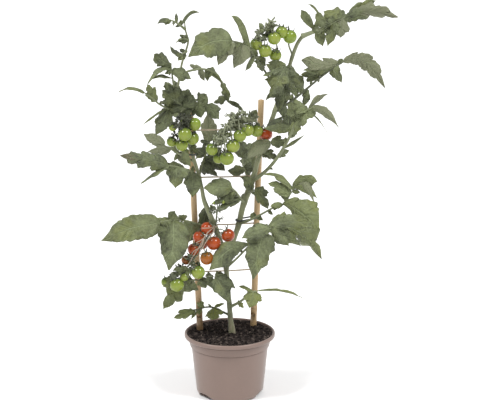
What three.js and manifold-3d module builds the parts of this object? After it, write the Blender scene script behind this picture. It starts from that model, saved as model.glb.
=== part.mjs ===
// A cherry tomato plant in a 14 cm nursery pot, tied to a small bamboo ladder.
// Millimetres, +Z up, +Y to the back; the origin is the middle of the pot's flat base.

import * as THREE from 'three';
import { mergeVertices } from 'three/addons/utils/BufferGeometryUtils.js';
import Module from 'manifold-3d';

const wasm = await Module();
wasm.setup();

// ---------------------------------------------------------------- driving dimensions

const CLEARANCE = 0.3; // the gap that touching pieces keep
const SIMPLIFY = 0.065; // how far a cut or join may move when its slivers are merged

const POT_RIM_RADIUS = 70;
const POT_HEIGHT = 97;
const POT_BASE_RADIUS = 51.5;
const POT_WALL = 1.4;
const POT_FLOOR = 2.2;
const POT_LIP_HEIGHT = 6;
const POT_LIP_WIDTH = 3.4;
const POT_NECK_STEP = 6.1; // how far the wall stands in under the lip
const POT_NECK_DROP = 2.4;
const POT_COLLAR_STEP = 8.5; // how far it stands in at the lower edge of the collar
const POT_COLLAR_DROP = 13.5;
const POT_FOOT_BEVEL = 5; // how far the rounded foot turns in
const POT_BODY_STEP = 2; // the body's top is this far inside the collar
const POT_COLLAR_SLOPE = 1.5; // height of the slope from the body to the collar
const POT_LIP_ROUND = 0.8; // how far the lip's lower edge is taken in
const POT_RIM_ROUND = 0.6; // how far the lip's upper edge is taken in
const POT_FLOOR_ROUND = 1; // rounding where the inside's slopes change
const POT_FOOT_HEIGHT = 6.5;
const POT_SEGMENTS = 26;
const DRAIN_COUNT = 3;
const DRAIN_WIDTH = 38;
const DRAIN_HEIGHT = 8;
const DRAIN_DEPTH = 8; // how far a drain hole reaches in under the pot
const DRAIN_FIRST_ANGLE = 220; // degrees round from +X

const SOIL_TOP = 92.5;
const SOIL_LUMP = 1.6;
const SOIL_NECK_GAP = 0.9; // room between the soil and the pot at its neck
const SOIL_NECK_DEPTH = 4.3; // the neck's depth below the soil's top
const SOIL_BODY_GAP = 3.2; // how far the soil stands inside the collar
const SOIL_BODY_DEPTH = 17.5; // the depth where the soil leaves the collar
const SOIL_GAP = 2.1; // how far the peat's top edge lies inside the lip

const CANE_RADIUS = 4.8;
const CANE_KNOT = 0.5; // how far a bamboo knot stands out
const CANE_KNOT_PITCH = 130;
const CANE_SIDES = 8;
const CANES = {
  cane_left: { foot: [-45.3, 19.2, 58], top: [-59.5, 28, 457] },
  cane_right: { foot: [34.8, 34.7, 58], top: [47.5, 43, 448] },
};
const RUNG_RADIUS = 1.15;
const RUNG_SEAT = 5; // how deep a rung's end goes into its cane
const RUNG_HEIGHTS = [185, 258, 332, 404];

const RACHIS_ROOT = 1.8; // radius of a leaf's stalk where it leaves the shoot
const RACHIS_TIP = 1.1;
const BLADE_THICKNESS = 0.8;
const BLADE_FOLD = 0.28; // drop of a leaflet's edge, as a part of its half width
const BLADE_LEAN = 0.07; // how far the lobes lean to the tip, as a part of the leaflet's length
const LOBE_LENGTH = 22; // millimetres of leaflet to each lobe

// A tie is a rubber band round a cane and the shoot in front of it; slack is its inner radius.
const TIE_WIDTH = 2.6;
const TIE_THICKNESS = 0.9;
const TIES = [
  { name: 'tie_left_high', cane: 'cane_left', shoot: 'left', height: 428, slack: 5.8 },
  { name: 'tie_left_low', cane: 'cane_left', shoot: 'left', height: 372, slack: 5.8 },
  { name: 'tie_right', cane: 'cane_right', shoot: 'right', height: 268, slack: 6.1 },
];

const TRUSS_RADIUS = 1.1;
const PEDICEL_RADIUS = 0.8;
const SEPAL_COUNT = 5;
const SEPAL_THICKNESS = 0.7;

const UP = new THREE.Vector3(0, 0, 1);
const FRONT = new THREE.Vector3(0, -0.974, 0.226); // the way a flat leaflet faces

const POT_PLASTIC = new THREE.MeshStandardMaterial({ color: 0x9f8f85, roughness: 0.55, metalness: 0 });
const PEAT = new THREE.MeshStandardMaterial({ color: 0x2b2019, roughness: 0.95, metalness: 0 });
const BAMBOO = new THREE.MeshStandardMaterial({ color: 0xc79a63, roughness: 0.5, metalness: 0 });
const STEM_GREEN = new THREE.MeshStandardMaterial({ color: 0x8c9b64, roughness: 0.7, metalness: 0 });
const LEAF_GREEN = new THREE.MeshStandardMaterial({ color: 0x64733f, roughness: 0.65, metalness: 0 });
const FRUIT_GREEN = new THREE.MeshStandardMaterial({ color: 0x96aa3c, roughness: 0.25, metalness: 0 });
const RED = new THREE.MeshStandardMaterial({ color: 0xc24a2e, roughness: 0.2, metalness: 0 });
const ORANGE = new THREE.MeshStandardMaterial({ color: 0xb4622a, roughness: 0.25, metalness: 0 });
const GREEN = FRUIT_GREEN;
const TIE_RUBBER = new THREE.MeshStandardMaterial({ color: 0x2c3034, roughness: 0.6, metalness: 0 });

// ---------------------------------------------------------------- the plan of the plant

// A leaflet leaves its leaf's stalk at a part of the stalk's length, and has a tip, a width,
// a turn about its rib in degrees (0 faces the front), an arch as a part of its length, and a
// cut, which says how deep the notches between its lobes go.
function leaflet(at, tip, width, turn, arch, cut) {
  return { at, tip, width, turn, arch, cut };
}

// A fruit hangs from a part of the truss's length, and has a centre, a diameter and a colour.
function fruit(at, centre, diameter, material) {
  return { at, centre, diameter, material };
}

// Each shoot's points are x, y, z and the shoot's radius there.
const SHOOTS = {
  main: [
    [3, 5, 62, 5.4], [3.5, 5, 93, 6.2], [1, 4, 117, 5.1], [-1, 2, 147, 4.8], [-3, 1, 174, 4.7],
    [-5, 1, 197, 4.6], [-5, 1, 213, 4.3],
  ],
  left: [
    [-5, 1, 204, 3.7], [-11, 0, 231, 3.7], [-21, -1, 260, 4], [-30, 0, 283, 3.8],
    [-38, 3, 303, 3.3], [-42, 6, 325, 2.6], [-47, 8, 345, 2.5], [-55, 7, 371, 2.3],
    [-64, 4, 397, 2.2], [-71, 2, 424, 2], [-74, 1, 448, 1.9], [-75, 0, 469, 1.8],
    [-72, 0, 490, 1.6], [-68, 0, 510, 1.5], [-62, 0, 528, 1.4], [-59, 0, 542, 1.2],
    [-63, 0, 558, 1], [-64, 0, 576, 0.7],
  ],
  right: [
    [-5, 1, 204, 3.7], [-1, 4, 222, 3.7], [7, 10, 242, 4], [14, 17, 262, 4.2], [20, 24, 287, 4.4],
    [29, 28, 312, 4.5], [37, 30, 335, 4], [43, 30, 358, 3.4], [52, 30, 386, 3.4],
    [62, 28, 415, 3.4], [70, 26, 440, 3.3], [78, 22, 469, 3], [87, 18, 495, 2.8],
    [94, 14, 519, 2.7], [101, 11, 537, 2.7], [110, 8, 550, 2.5],
  ],
};

const LEAVES = [
  {
    name: 'leaf_left_low',
    stalk: [[-22, -1, 257], [-41, 3, 263], [-65, -10, 274], [-85, -26, 279], [-102, -36, 278]],
    leaflets: [
      leaflet(1, [-185, -74, 260], 44, 12, 0.15, 0.08),
      leaflet(0.64, [-84, -52, 208], 49, 8, 0.08, 0.06),
      leaflet(0.4, [-40, 8, 233], 38, 15, 0.06, 0.1),
      leaflet(0.78, [-82, -34, 299], 11, 20, 0.1, 0.1),
    ],
  },
  {
    name: 'leaf_left_mid',
    stalk: [[-45, 7, 337], [-58, -5, 349], [-74, -12, 356], [-90, -18, 360]],
    leaflets: [
      leaflet(1, [-157, -52, 381], 34, 15, 0.1, 0.3),
      leaflet(0.72, [-80, -24, 326], 37, 10, 0.05, 0.25),
      leaflet(0.25, [-54, -10, 310], 29, 10, 0.05, 0.2),
      leaflet(0.97, [-130, -34, 335], 15, 65, 0.02, 0.1),
    ],
  },
  {
    name: 'leaf_left_back',
    stalk: [[-52, 9, 360], [-63, 14, 365], [-76, 32, 367], [-89, 50, 371], [-100, 62, 375]],
    leaflets: [
      leaflet(1, [-136, 84, 388], 24, 20, 0.06, 0.1),
      leaflet(0.75, [-125, 60, 365], 17, 25, 0.08, 0.25),
      leaflet(0.55, [-57, 50, 345], 20, 15, 0.05, 0.1),
      leaflet(0.55, [-93, 62, 389], 12, 40, 0.05, 0.2),
    ],
  },
  {
    name: 'leaf_left_high',
    stalk: [[-73, 1, 436], [-89, -10, 443], [-102, -20, 452], [-111, -28, 462], [-121, -34, 470]],
    leaflets: [
      leaflet(1, [-157, -58, 472], 11, 60, 0.3, 0.1),
      leaflet(0.6, [-117, -40, 479], 23, 20, 0.06, 0.3),
      leaflet(0.24, [-106, -34, 407], 32, 12, 0.1, 0.2),
      leaflet(0.26, [-126, -30, 421], 9, 40, 0.15, 0.1),
    ],
  },
  {
    name: 'leaf_left_top',
    stalk: [[-75, -1, 462], [-80, -12, 478], [-82, -18, 494], [-83, -22, 506]],
    leaflets: [
      leaflet(1, [-111, -30, 520], 26, 8, 0.1, 0.3),
      leaflet(0.9, [-117, -38, 482], 15, 45, 0.38, 0.1),
      leaflet(0.55, [-104, -34, 492], 11, 50, 0.25, 0.1),
      leaflet(0.82, [-54, -26, 489], 24, 12, 0.1, 0.35),
    ],
  },
  {
    name: 'leaf_left_core',
    stalk: [[-75, 0, 453], [-74, 7, 458], [-72, 10, 465]],
    leaflets: [
      leaflet(0.7, [-100, 2, 447], 34, 8, 0.12, 0.3),
      leaflet(0.7, [-54, 0, 453], 23, 15, 0.12, 0.3),
      leaflet(1, [-98, 4, 476], 31, 20, 0.12, 0.3),
    ],
  },
  {
    name: 'leaf_mid_top',
    stalk: [[-74, 2, 442], [-60, 4, 448], [-46, 6, 449], [-31, 6, 447]],
    leaflets: [
      leaflet(1, [-15, -2, 426], 24, 12, 0.08, 0.25),
      leaflet(0.55, [-41, 0, 428], 26, 12, 0.08, 0.25),
      leaflet(0.7, [-33, 12, 461], 23, 15, 0.08, 0.35),
      leaflet(0.32, [-54, -4, 439], 18, 15, 0.1, 0.2),
    ],
  },
  {
    name: 'leaf_arch',
    stalk: [[-71, 1, 491], [-58, 18, 495], [-36, 36, 495], [-17, 50, 483], [-7, 60, 460], [-2, 62, 443]],
    leaflets: [
      leaflet(1, [23, 66, 424], 11, 20, 0.12, 0.15),
      leaflet(0.92, [-24, 62, 440], 20, 10, 0.08, 0.35),
      leaflet(0.2, [-59, 24, 504], 15, 25, 0.05, 0.25),
      leaflet(0.33, [-39, 34, 479], 14, 15, 0.04, 0.2),
      leaflet(0.43, [-33, 44, 476], 12, 15, 0.04, 0.2),
      leaflet(0.42, [-11, 52, 471], 15, 25, 0.25, 0.15),
      leaflet(0.74, [-2, 58, 441], 15, 15, 0.06, 0.2),
    ],
  },
  {
    name: 'leaf_center_back',
    stalk: [[-45, 9, 341], [-39, 34, 358], [-33, 52, 371], [-30, 58, 382]],
    leaflets: [
      leaflet(1, [-33, 70, 427], 26, 12, 0.03, 0.08),
      leaflet(0.9, [-45, 56, 383], 14, 15, 0.05, 0.3),
      leaflet(0.45, [-54, 52, 371], 26, 15, 0.1, 0.25),
      leaflet(0.35, [-7, 44, 339], 26, 12, 0.08, 0.25),
      leaflet(0.6, [0, 60, 351], 23, 15, 0.08, 0.25),
    ],
  },
  {
    name: 'leaf_right_back',
    stalk: [[31, 29, 315], [26, 56, 328], [20, 74, 342], [19, 82, 351]],
    leaflets: [
      leaflet(1, [17, 92, 374], 23, 12, 0.05, 0.2),
      leaflet(0.5, [-4, 72, 333], 20, 12, 0.08, 0.3),
      leaflet(0.55, [36, 62, 336], 21, 12, 0.08, 0.3),
    ],
  },
  {
    name: 'leaf_center_low',
    stalk: [[22, 25, 293], [16, 8, 305], [10, -2, 316], [4, -6, 323]],
    leaflets: [
      leaflet(1, [-37, -22, 327], 32, 12, 0.06, 0.1),
      leaflet(0.3, [-18, -8, 287], 15, 20, 0.06, 0.2),
      leaflet(0.7, [-14, 0, 302], 18, 20, 0.06, 0.2),
    ],
  },
  {
    name: 'leaf_center_front',
    stalk: [[45, 30, 361], [53, 10, 378], [62, -2, 392]],
    leaflets: [
      leaflet(0.85, [27, -20, 371], 31, 8, 0.08, 0.15),
      leaflet(1, [87, 0, 383], 24, 12, 0.08, 0.25),
      leaflet(0.35, [71, 0, 366], 17, 15, 0.08, 0.3),
    ],
  },
  {
    name: 'leaf_shade',
    stalk: [[64, 28, 418], [75, 8, 426], [87, -4, 433]],
    leaflets: [
      leaflet(1, [91, -18, 407], 28, 12, 0.12, 0.25),
      leaflet(0.6, [49, -14, 414], 17, 45, 0.08, 0.1),
      leaflet(0.8, [80, -2, 446], 18, 20, 0.08, 0.3),
    ],
  },
  {
    name: 'leaf_right_mid',
    stalk: [[34, 29, 326], [53, 10, 344], [71, -4, 368], [87, -16, 398], [98, -26, 425], [109, -32, 442],
      [119, -36, 448]],
    leaflets: [
      leaflet(1, [160, -60, 423], 21, 30, 0.3, 0.15),
      leaflet(0.95, [144, -44, 470], 12, 45, 0.12, 0.1),
      leaflet(0.93, [87, -40, 453], 23, 15, 0.06, 0.3),
      leaflet(0.88, [95, -34, 414], 18, 20, 0.06, 0.25),
      leaflet(0.88, [130, -46, 429], 18, 25, 0.1, 0.2),
      leaflet(0.84, [143, -36, 412], 5, 60, 0.3, 0),
      leaflet(0.42, [112, -14, 406], 6, 40, -0.12, 0),
    ],
  },
  {
    name: 'leaf_right_high',
    stalk: [[70, 26, 441], [91, 38, 451], [114, 48, 468], [136, 56, 484], [156, 62, 497], [171, 66, 505]],
    leaflets: [
      leaflet(1, [238, 86, 458], 31, 20, 0.32, 0.25),
      leaflet(0.84, [107, 46, 514], 28, 12, 0.05, 0.3),
      leaflet(0.88, [169, 50, 472], 18, 20, 0.05, 0.1),
      leaflet(0.93, [141, 82, 506], 17, 25, 0.05, 0.2),
      leaflet(0.42, [112, 44, 438], 14, 15, 0.05, 0.2),
      leaflet(0.36, [94, 60, 491], 23, 15, 0.05, 0.35),
      leaflet(0.6, [108, 64, 484], 20, 15, 0.08, 0.3),
    ],
  },
  {
    name: 'leaf_top_right',
    stalk: [[107, 9, 547], [126, 2, 555], [141, -6, 562], [156, -14, 573], [174, -20, 582]],
    leaflets: [
      leaflet(1, [241, -40, 579], 31, 28, 0.12, 0.15),
      leaflet(1, [212, -10, 600], 17, 20, 0.15, 0.15),
      leaflet(0.55, [128, -8, 585], 29, 10, 0.08, 0.3),
      leaflet(0.88, [145, 2, 589], 23, 25, 0.08, 0.3),
      leaflet(0.72, [143, -20, 536], 18, 20, 0.05, 0.15),
      leaflet(0.88, [161, -30, 549], 26, 12, 0.05, 0.35),
      leaflet(0.3, [137, -4, 534], 17, 15, 0.05, 0.1),
      leaflet(0.24, [105, 0, 586], 15, 12, 0.05, 0.1),
      leaflet(0.48, [114, -12, 595], 6, 50, 0.35, 0),
    ],
  },
  {
    name: 'leaf_upper_core',
    stalk: [[84, 19, 486], [85, 0, 497], [83, -12, 506]],
    leaflets: [
      leaflet(1, [60, -28, 463], 34, 8, 0.12, 0.35),
      leaflet(0.55, [75, -16, 442], 20, 12, 0.08, 0.35),
      leaflet(0.9, [50, -22, 493], 14, 20, 0.08, 0.3),
      leaflet(0.95, [57, -8, 511], 17, 20, 0.1, 0.3),
    ],
  },
  {
    name: 'leaf_upper_left',
    stalk: [[74, 24, 455], [60, 4, 485], [44, -14, 511], [31, -28, 531], [21, -36, 541], [5, -42, 546]],
    leaflets: [
      leaflet(1, [-56, -66, 527], 44, 8, 0.14, 0.08),
      leaflet(0.93, [-15, -44, 510], 29, 8, 0.05, 0.15),
      leaflet(0.82, [9, -34, 503], 28, 8, 0.05, 0.1),
      leaflet(0.76, [2, -30, 581], 15, 25, 0.05, 0.1),
      leaflet(0.5, [22, -14, 499], 15, 20, 0.05, 0.15),
    ],
  },
  {
    name: 'leaf_right_low',
    stalk: [[-4, 0, 199], [10, -16, 216], [25, -32, 236], [40, -44, 255], [53, -52, 269], [63, -56, 274]],
    leaflets: [
      leaflet(1, [135, -86, 233], 55, 12, 0.3, 0.22),
      leaflet(0.86, [35, -60, 197], 47, 8, 0.07, 0.1),
      leaflet(0.46, [-28, -46, 206], 32, 12, 0.08, 0.08),
      leaflet(0.94, [89, -48, 295], 26, 35, 0.1, 0.15),
    ],
  },
  {
    name: 'leaf_right_fold',
    stalk: [[14, 17, 262], [31, 2, 272], [49, -8, 284], [65, -16, 295], [80, -22, 302], [90, -24, 317],
      [96, -24, 327]],
    leaflets: [
      leaflet(1, [122, -44, 308], 28, 25, 0.6, 0.1),
      leaflet(0.96, [53, -12, 344], 21, 45, 0.1, 0.2),
      leaflet(0.84, [56, -18, 335], 23, 15, 0.05, 0.3),
      leaflet(0.66, [134, -44, 267], 50, 12, 0.2, 0.15),
      leaflet(0.6, [61, -22, 299], 12, 20, 0.05, 0.2),
    ],
  },
  {
    name: 'leaf_low_right',
    stalk: [[0, 3, 135], [13, -14, 147], [23, -26, 158], [34, -34, 170], [41, -36, 172]],
    leaflets: [
      leaflet(1, [113, -50, 164], 15, 62, 0.1, 0.3),
      leaflet(0.85, [30, -42, 148], 31, 8, 0.05, 0.2),
      leaflet(0.8, [10, -32, 181], 8, 45, 0.08, 0.2),
    ],
  },
  {
    name: 'leaf_low_front',
    stalk: [[0, 2, 140], [-5, -11, 155], [-22, -19, 170], [-40, -20, 182], [-59, -14, 183],
      [-75, -8, 175]],
    leaflets: [
      leaflet(1, [-102, -18, 137], 24, 12, 0.04, 0.2),
      leaflet(0.18, [-18, -26, 201], 29, 8, 0.06, 0.3),
      leaflet(0.48, [-32, -26, 199], 14, 25, 0.1, 0.2),
      leaflet(0.76, [-69, -6, 162], 23, 15, 0.05, 0.25),
      leaflet(0.66, [-40, -12, 168], 18, 15, 0.05, 0.2),
    ],
  },
  {
    name: 'leaf_lowest',
    stalk: [[0, 3, 122], [-10, 9, 125], [-24, 12, 131], [-36, 12, 132], [-47, 8, 130], [-56, 4, 130]],
    leaflets: [
      leaflet(1, [-85, -6, 120], 17, 15, 0.05, 0.3),
      leaflet(0.92, [-71, 2, 116], 8, 25, 0.05, 0.1),
      leaflet(0.8, [-59, 0, 117], 8, 50, 0.05, 0.1),
      leaflet(0.72, [-44, 2, 145], 11, 25, 0.05, 0.2),
      leaflet(0.42, [-26, -4, 116], 24, 10, 0.1, 0.15),
      leaflet(0.38, [-8, 2, 141], 8, 45, 0.05, 0.1),
    ],
  },
  {
    name: 'leaf_inner_left',
    stalk: [[-25, -1, 268], [-32, 10, 283], [-34, 14, 288]],
    leaflets: [
      leaflet(1, [-45, 12, 251], 23, 10, 0.05, 0.15),
    ],
  },
  {
    name: 'leaf_inner_right',
    stalk: [[28, 28, 308], [34, 12, 315], [40, 4, 318]],
    leaflets: [
      leaflet(1, [58, -4, 291], 21, 15, 0.05, 0.3),
      leaflet(0.85, [59, -2, 315], 17, 20, 0.05, 0.3),
      leaflet(0.5, [22, 4, 339], 18, 10, 0.05, 0.15),
    ],
  },
  {
    name: 'leaf_tip_low',
    stalk: [[-62, 0, 526], [-68, -10, 523]],
    leaflets: [
      leaflet(1, [-84, -24, 536], 11, 35, -0.25, 0.1),
      leaflet(1, [-73, -14, 514], 9, 20, 0.05, 0.2),
    ],
  },
  {
    name: 'leaf_tip_mid',
    stalk: [[-59, 0, 542], [-66, -8, 546]],
    leaflets: [
      leaflet(1, [-76, -16, 540], 6, 55, 0.25, 0.1),
      leaflet(0.4, [-73, -10, 541], 9, 15, 0.05, 0.2),
    ],
  },
  {
    name: 'leaf_tip_high',
    stalk: [[-63, 0, 558], [-75, -8, 568], [-84, -14, 573]],
    leaflets: [
      leaflet(1, [-102, -26, 568], 11, 35, 0.3, 0.1),
      leaflet(0.5, [-76, -4, 582], 6, 30, 0.05, 0.1),
      leaflet(0.25, [-42, 10, 581], 6, 40, 0.35, 0),
    ],
  },
  {
    name: 'leaf_rear_left',
    stalk: [[-68, 3, 412], [-71, 40, 415], [-70, 72, 422], [-66, 92, 431]],
    leaflets: [
      leaflet(1, [-52, 128, 435], 26, 12, 0.12, 0.25),
      leaflet(0.85, [-81, 112, 437], 24, 12, 0.12, 0.25),
      leaflet(0.8, [-62, 104, 404], 24, 12, 0.1, 0.25),
      leaflet(0.55, [-89, 84, 429], 23, 20, 0.1, 0.25),
    ],
  },
  {
    name: 'leaf_rear_right',
    stalk: [[76, 24, 461], [82, 58, 467], [86, 90, 474], [90, 108, 480]],
    leaflets: [
      leaflet(1, [103, 144, 477], 26, 12, 0.12, 0.25),
      leaflet(0.85, [78, 130, 488], 23, 12, 0.12, 0.25),
      leaflet(0.8, [84, 124, 454], 24, 12, 0.1, 0.25),
      leaflet(0.55, [103, 96, 477], 21, 20, 0.1, 0.25),
    ],
  },
  {
    name: 'leaf_rear_low',
    stalk: [[37, 30, 332], [33, 60, 321], [37, 96, 329], [33, 118, 344]],
    leaflets: [
      leaflet(1, [12, 148, 364], 28, 12, 0.12, 0.25),
      leaflet(0.85, [40, 132, 361], 23, 12, 0.12, 0.25),
      leaflet(0.8, [15, 126, 339], 24, 12, 0.1, 0.25),
      leaflet(0.55, [50, 98, 357], 23, 20, 0.1, 0.25),
    ],
  },
];

const TRUSSES = [
  {
    name: 'truss_upper',
    stalk: [[94, 14, 517], [88, 16, 533], [85, 12, 551], [75, 6, 562], [59, 0, 561], [47, -4, 553],
      [41, -6, 547]],
    fruits: [
      fruit(0.22, [89, 2, 547], 20, GREEN),
      fruit(0.42, [77, -2, 554], 18, GREEN),
      fruit(0.62, [66, -9, 546], 19, GREEN),
      fruit(0.8, [53, -12, 528], 19, GREEN),
      fruit(1, [40, -8, 537], 18, GREEN),
      fruit(0.5, [68, 2, 520], 18, GREEN),
    ],
  },
  {
    name: 'truss_left',
    stalk: [[-63, 4, 394], [-60, -10, 413], [-66, -16, 426], [-71, -20, 419], [-74, -20, 406]],
    fruits: [
      fruit(0.2, [-50, -16, 421], 19, GREEN),
      fruit(0.8, [-64, -28, 408], 20, GREEN),
      fruit(1, [-69, -22, 391], 18, GREEN),
      fruit(0.25, [-54, -10, 399], 20, GREEN),
      fruit(0.95, [-84, -16, 395], 15, GREEN),
      fruit(0.7, [-82, -18, 417], 12, GREEN),
      fruit(0.45, [-66, -14, 425], 12, GREEN),
    ],
  },
  {
    name: 'truss_center',
    stalk: [[52, 30, 388], [43, 14, 416], [28, 4, 425], [12, -6, 426], [-3, -14, 420], [-9, -16, 401],
      [-12, -14, 384]],
    fruits: [
      fruit(0.3, [27, -8, 411], 19, GREEN),
      fruit(0.14, [41, 8, 407], 19, GREEN),
      fruit(0.48, [16, -16, 404], 19, GREEN),
      fruit(0.62, [6, -18, 389], 20, GREEN),
      fruit(0.85, [-3, -20, 371], 21, GREEN),
      fruit(1, [-16, -12, 369], 15, GREEN),
      fruit(0.88, [-25, -18, 384], 18, GREEN),
      fruit(0.7, [-16, -4, 397], 15, GREEN),
      fruit(0.08, [55, 12, 401], 19, RED),
    ],
  },
  {
    name: 'truss_low',
    stalk: [[-20, -2, 258], [-30, -14, 253], [-40, -22, 240], [-49, -26, 224], [-62, -26, 208],
      [-77, -24, 198], [-89, -20, 191]],
    fruits: [
      fruit(0.06, [-33, -14, 263], 19, RED),
      fruit(0.16, [-45, -20, 251], 18, RED),
      fruit(0.3, [-53, -22, 233], 18, RED),
      fruit(0.2, [-23, -24, 243], 21, RED),
      fruit(0.04, [-2, -16, 253], 20, RED),
      fruit(0.36, [-33, -32, 222], 20, ORANGE),
      fruit(0.62, [-65, -14, 214], 14, ORANGE),
      fruit(0.26, [-40, -8, 237], 15, RED),
      fruit(0.66, [-46, -34, 201], 20, GREEN),
      fruit(0.95, [-78, -32, 181], 21, GREEN),
      fruit(1, [-95, -18, 181], 15, GREEN),
      fruit(0.82, [-67, -32, 193], 13, GREEN),
    ],
  },
  {
    name: 'truss_young',
    stalk: [[-21, -1, 260], [-19, -8, 279], [-18, -10, 290], [-14, -12, 299]],
    fruits: [
      fruit(1, [-9, -16, 304], 5, GREEN),
      fruit(0.8, [-22, -14, 302], 5, GREEN),
      fruit(0.65, [-27, -8, 295], 4, GREEN),
    ],
  },
];

// ---------------------------------------------------------------- solids

function point(xyz) {
  return new THREE.Vector3(xyz[0], xyz[1], xyz[2]);
}

// A closed solid from a list of vectors and a list of vertex triples.
function solidFrom(vertices, triangles) {
  const vertProperties = new Float32Array(vertices.flatMap((v) => [v.x, v.y, v.z]));
  const triVerts = new Uint32Array(triangles.flat());
  return new wasm.Manifold(new wasm.Mesh({ numProp: 3, vertProperties, triVerts }));
}

// A closed solid from a three.js geometry, with shared vertices merged and empty triangles dropped.
function solidOf(geometry) {
  const bare = geometry.clone();
  bare.deleteAttribute('normal');
  bare.deleteAttribute('uv');
  const merged = mergeVertices(bare, 1e-4);
  const index = merged.getIndex().array;
  const kept = [];
  for (let i = 0; i < index.length; i += 3) {
    const [a, b, c] = [index[i], index[i + 1], index[i + 2]];
    if (a !== b && b !== c && c !== a) kept.push(a, b, c);
  }
  const vertProperties = new Float32Array(merged.getAttribute('position').array);
  return new wasm.Manifold(new wasm.Mesh({ numProp: 3, vertProperties, triVerts: new Uint32Array(kept) }));
}

// The biggest body of a solid: a scrap that a cut has left loose is dropped.
function biggest(solid) {
  const bodies = solid.decompose();
  bodies.sort((a, b) => b.volume() - a.volume());
  return bodies[0];
}

// A named mesh from a solid, with the slivers of its cuts merged.
function meshOf(name, solid, material) {
  const body = biggest(biggest(solid).asOriginal().simplify(SIMPLIFY));
  const { vertProperties, triVerts } = body.getMesh();
  const geometry = new THREE.BufferGeometry();
  geometry.setAttribute('position', new THREE.BufferAttribute(new Float32Array(vertProperties), 3));
  geometry.setIndex(new THREE.BufferAttribute(new Uint32Array(triVerts), 1));
  geometry.computeVertexNormals();
  const mesh = new THREE.Mesh(geometry, material);
  mesh.name = name;
  return mesh;
}

// A smooth curve through points given as number lists.
function curveThrough(points) {
  return new THREE.CatmullRomCurve3(points.map(point), false, 'catmullrom', 0.5);
}

// A round section of changing radius carried along a curve, with its ends closed.
function sweep(curve, radiusAt, sides, steps) {
  const vertices = [];
  const triangles = [];
  const across = new THREE.Vector3(1, 0.2, 0.1);
  for (let i = 0; i <= steps; i += 1) {
    const centre = curve.getPoint(i / steps);
    const along = curve.getTangent(i / steps);
    across.addScaledVector(along, -across.dot(along)).normalize();
    const third = new THREE.Vector3().crossVectors(along, across);
    for (let j = 0; j < sides; j += 1) {
      const angle = (2 * Math.PI * j) / sides;
      const radius = radiusAt(i / steps);
      vertices.push(centre.clone()
        .addScaledVector(across, radius * Math.cos(angle))
        .addScaledVector(third, radius * Math.sin(angle)));
    }
  }
  for (let i = 0; i < steps; i += 1) {
    for (let j = 0; j < sides; j += 1) {
      const a = i * sides + j;
      const b = i * sides + ((j + 1) % sides);
      triangles.push([a, b, b + sides], [a, b + sides, a + sides]);
    }
  }
  const last = steps * sides;
  for (let j = 1; j < sides - 1; j += 1) {
    triangles.push([0, j + 1, j], [last, last + j, last + j + 1]);
  }
  return solidFrom(vertices, triangles);
}

// The radius along a shoot, straight between its points.
function radiusBetween(points, extra) {
  return (t) => {
    const place = t * (points.length - 1);
    const i = Math.min(Math.floor(place), points.length - 2);
    return THREE.MathUtils.lerp(points[i][3], points[i + 1][3], place - i) + extra;
  };
}

// ---------------------------------------------------------------- pot and soil

// The pot's wall from the inside of the rim, down the inside, over the floor and up the outside.
function potSolid() {
  const underLip = POT_HEIGHT - POT_LIP_HEIGHT;
  const neck = POT_RIM_RADIUS - POT_NECK_STEP;
  const collar = POT_RIM_RADIUS - POT_COLLAR_STEP;
  const body = collar - POT_BODY_STEP;
  const mouth = POT_RIM_RADIUS - POT_LIP_WIDTH;
  const floorEdge = POT_BASE_RADIUS - POT_WALL;
  const profile = [
    [0, 0],
    [POT_BASE_RADIUS - POT_FOOT_BEVEL, 0],
    [POT_BASE_RADIUS - 0.35 * POT_FOOT_BEVEL, 0.25 * POT_FOOT_HEIGHT],
    [POT_BASE_RADIUS, POT_FOOT_HEIGHT],
    [body, underLip - POT_COLLAR_DROP - POT_COLLAR_SLOPE],
    [collar, underLip - POT_COLLAR_DROP],
    [neck, underLip - POT_NECK_DROP],
    [POT_RIM_RADIUS - POT_LIP_ROUND, underLip],
    [POT_RIM_RADIUS, underLip + 1.5 * POT_LIP_ROUND],
    [POT_RIM_RADIUS - POT_RIM_ROUND, POT_HEIGHT],
    [mouth, POT_HEIGHT - 0.5 * POT_RIM_ROUND],
    [mouth - 2 * POT_RIM_ROUND, underLip + POT_FLOOR_ROUND],
    [neck - POT_WALL, underLip - POT_NECK_DROP],
    [body - POT_WALL, underLip - POT_COLLAR_DROP - POT_COLLAR_SLOPE],
    [floorEdge, POT_FOOT_HEIGHT + 0.5 * POT_FLOOR_ROUND],
    [POT_BASE_RADIUS - POT_FOOT_BEVEL, POT_FLOOR],
    [0, POT_FLOOR],
  ];
  const turned = new THREE.LatheGeometry(profile.map(([r, h]) => new THREE.Vector2(r, h)), POT_SEGMENTS);
  turned.rotateX(Math.PI / 2);
  let pot = solidOf(turned);
  for (let i = 0; i < DRAIN_COUNT; i += 1) {
    pot = pot.subtract(drainArch(DRAIN_FIRST_ANGLE + (360 * i) / DRAIN_COUNT));
  }
  return pot;
}

// An arched block that cuts one drain hole through the foot of the wall.
function drainArch(degrees) {
  const half = DRAIN_WIDTH / 2;
  const proud = 4;
  const outline = new THREE.Shape();
  outline.moveTo(-half, -1);
  outline.lineTo(half, -1);
  outline.quadraticCurveTo(half * 0.85, DRAIN_HEIGHT, 0, DRAIN_HEIGHT);
  outline.quadraticCurveTo(-half * 0.85, DRAIN_HEIGHT, -half, -1);
  const extent = { depth: DRAIN_DEPTH + proud, bevelEnabled: false, curveSegments: 4 };
  const block = new THREE.ExtrudeGeometry(outline, extent);
  block.rotateX(Math.PI / 2);
  block.translate(0, POT_BASE_RADIUS + proud, 0);
  block.rotateZ(THREE.MathUtils.degToRad(degrees - 90));
  return solidOf(block);
}

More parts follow.
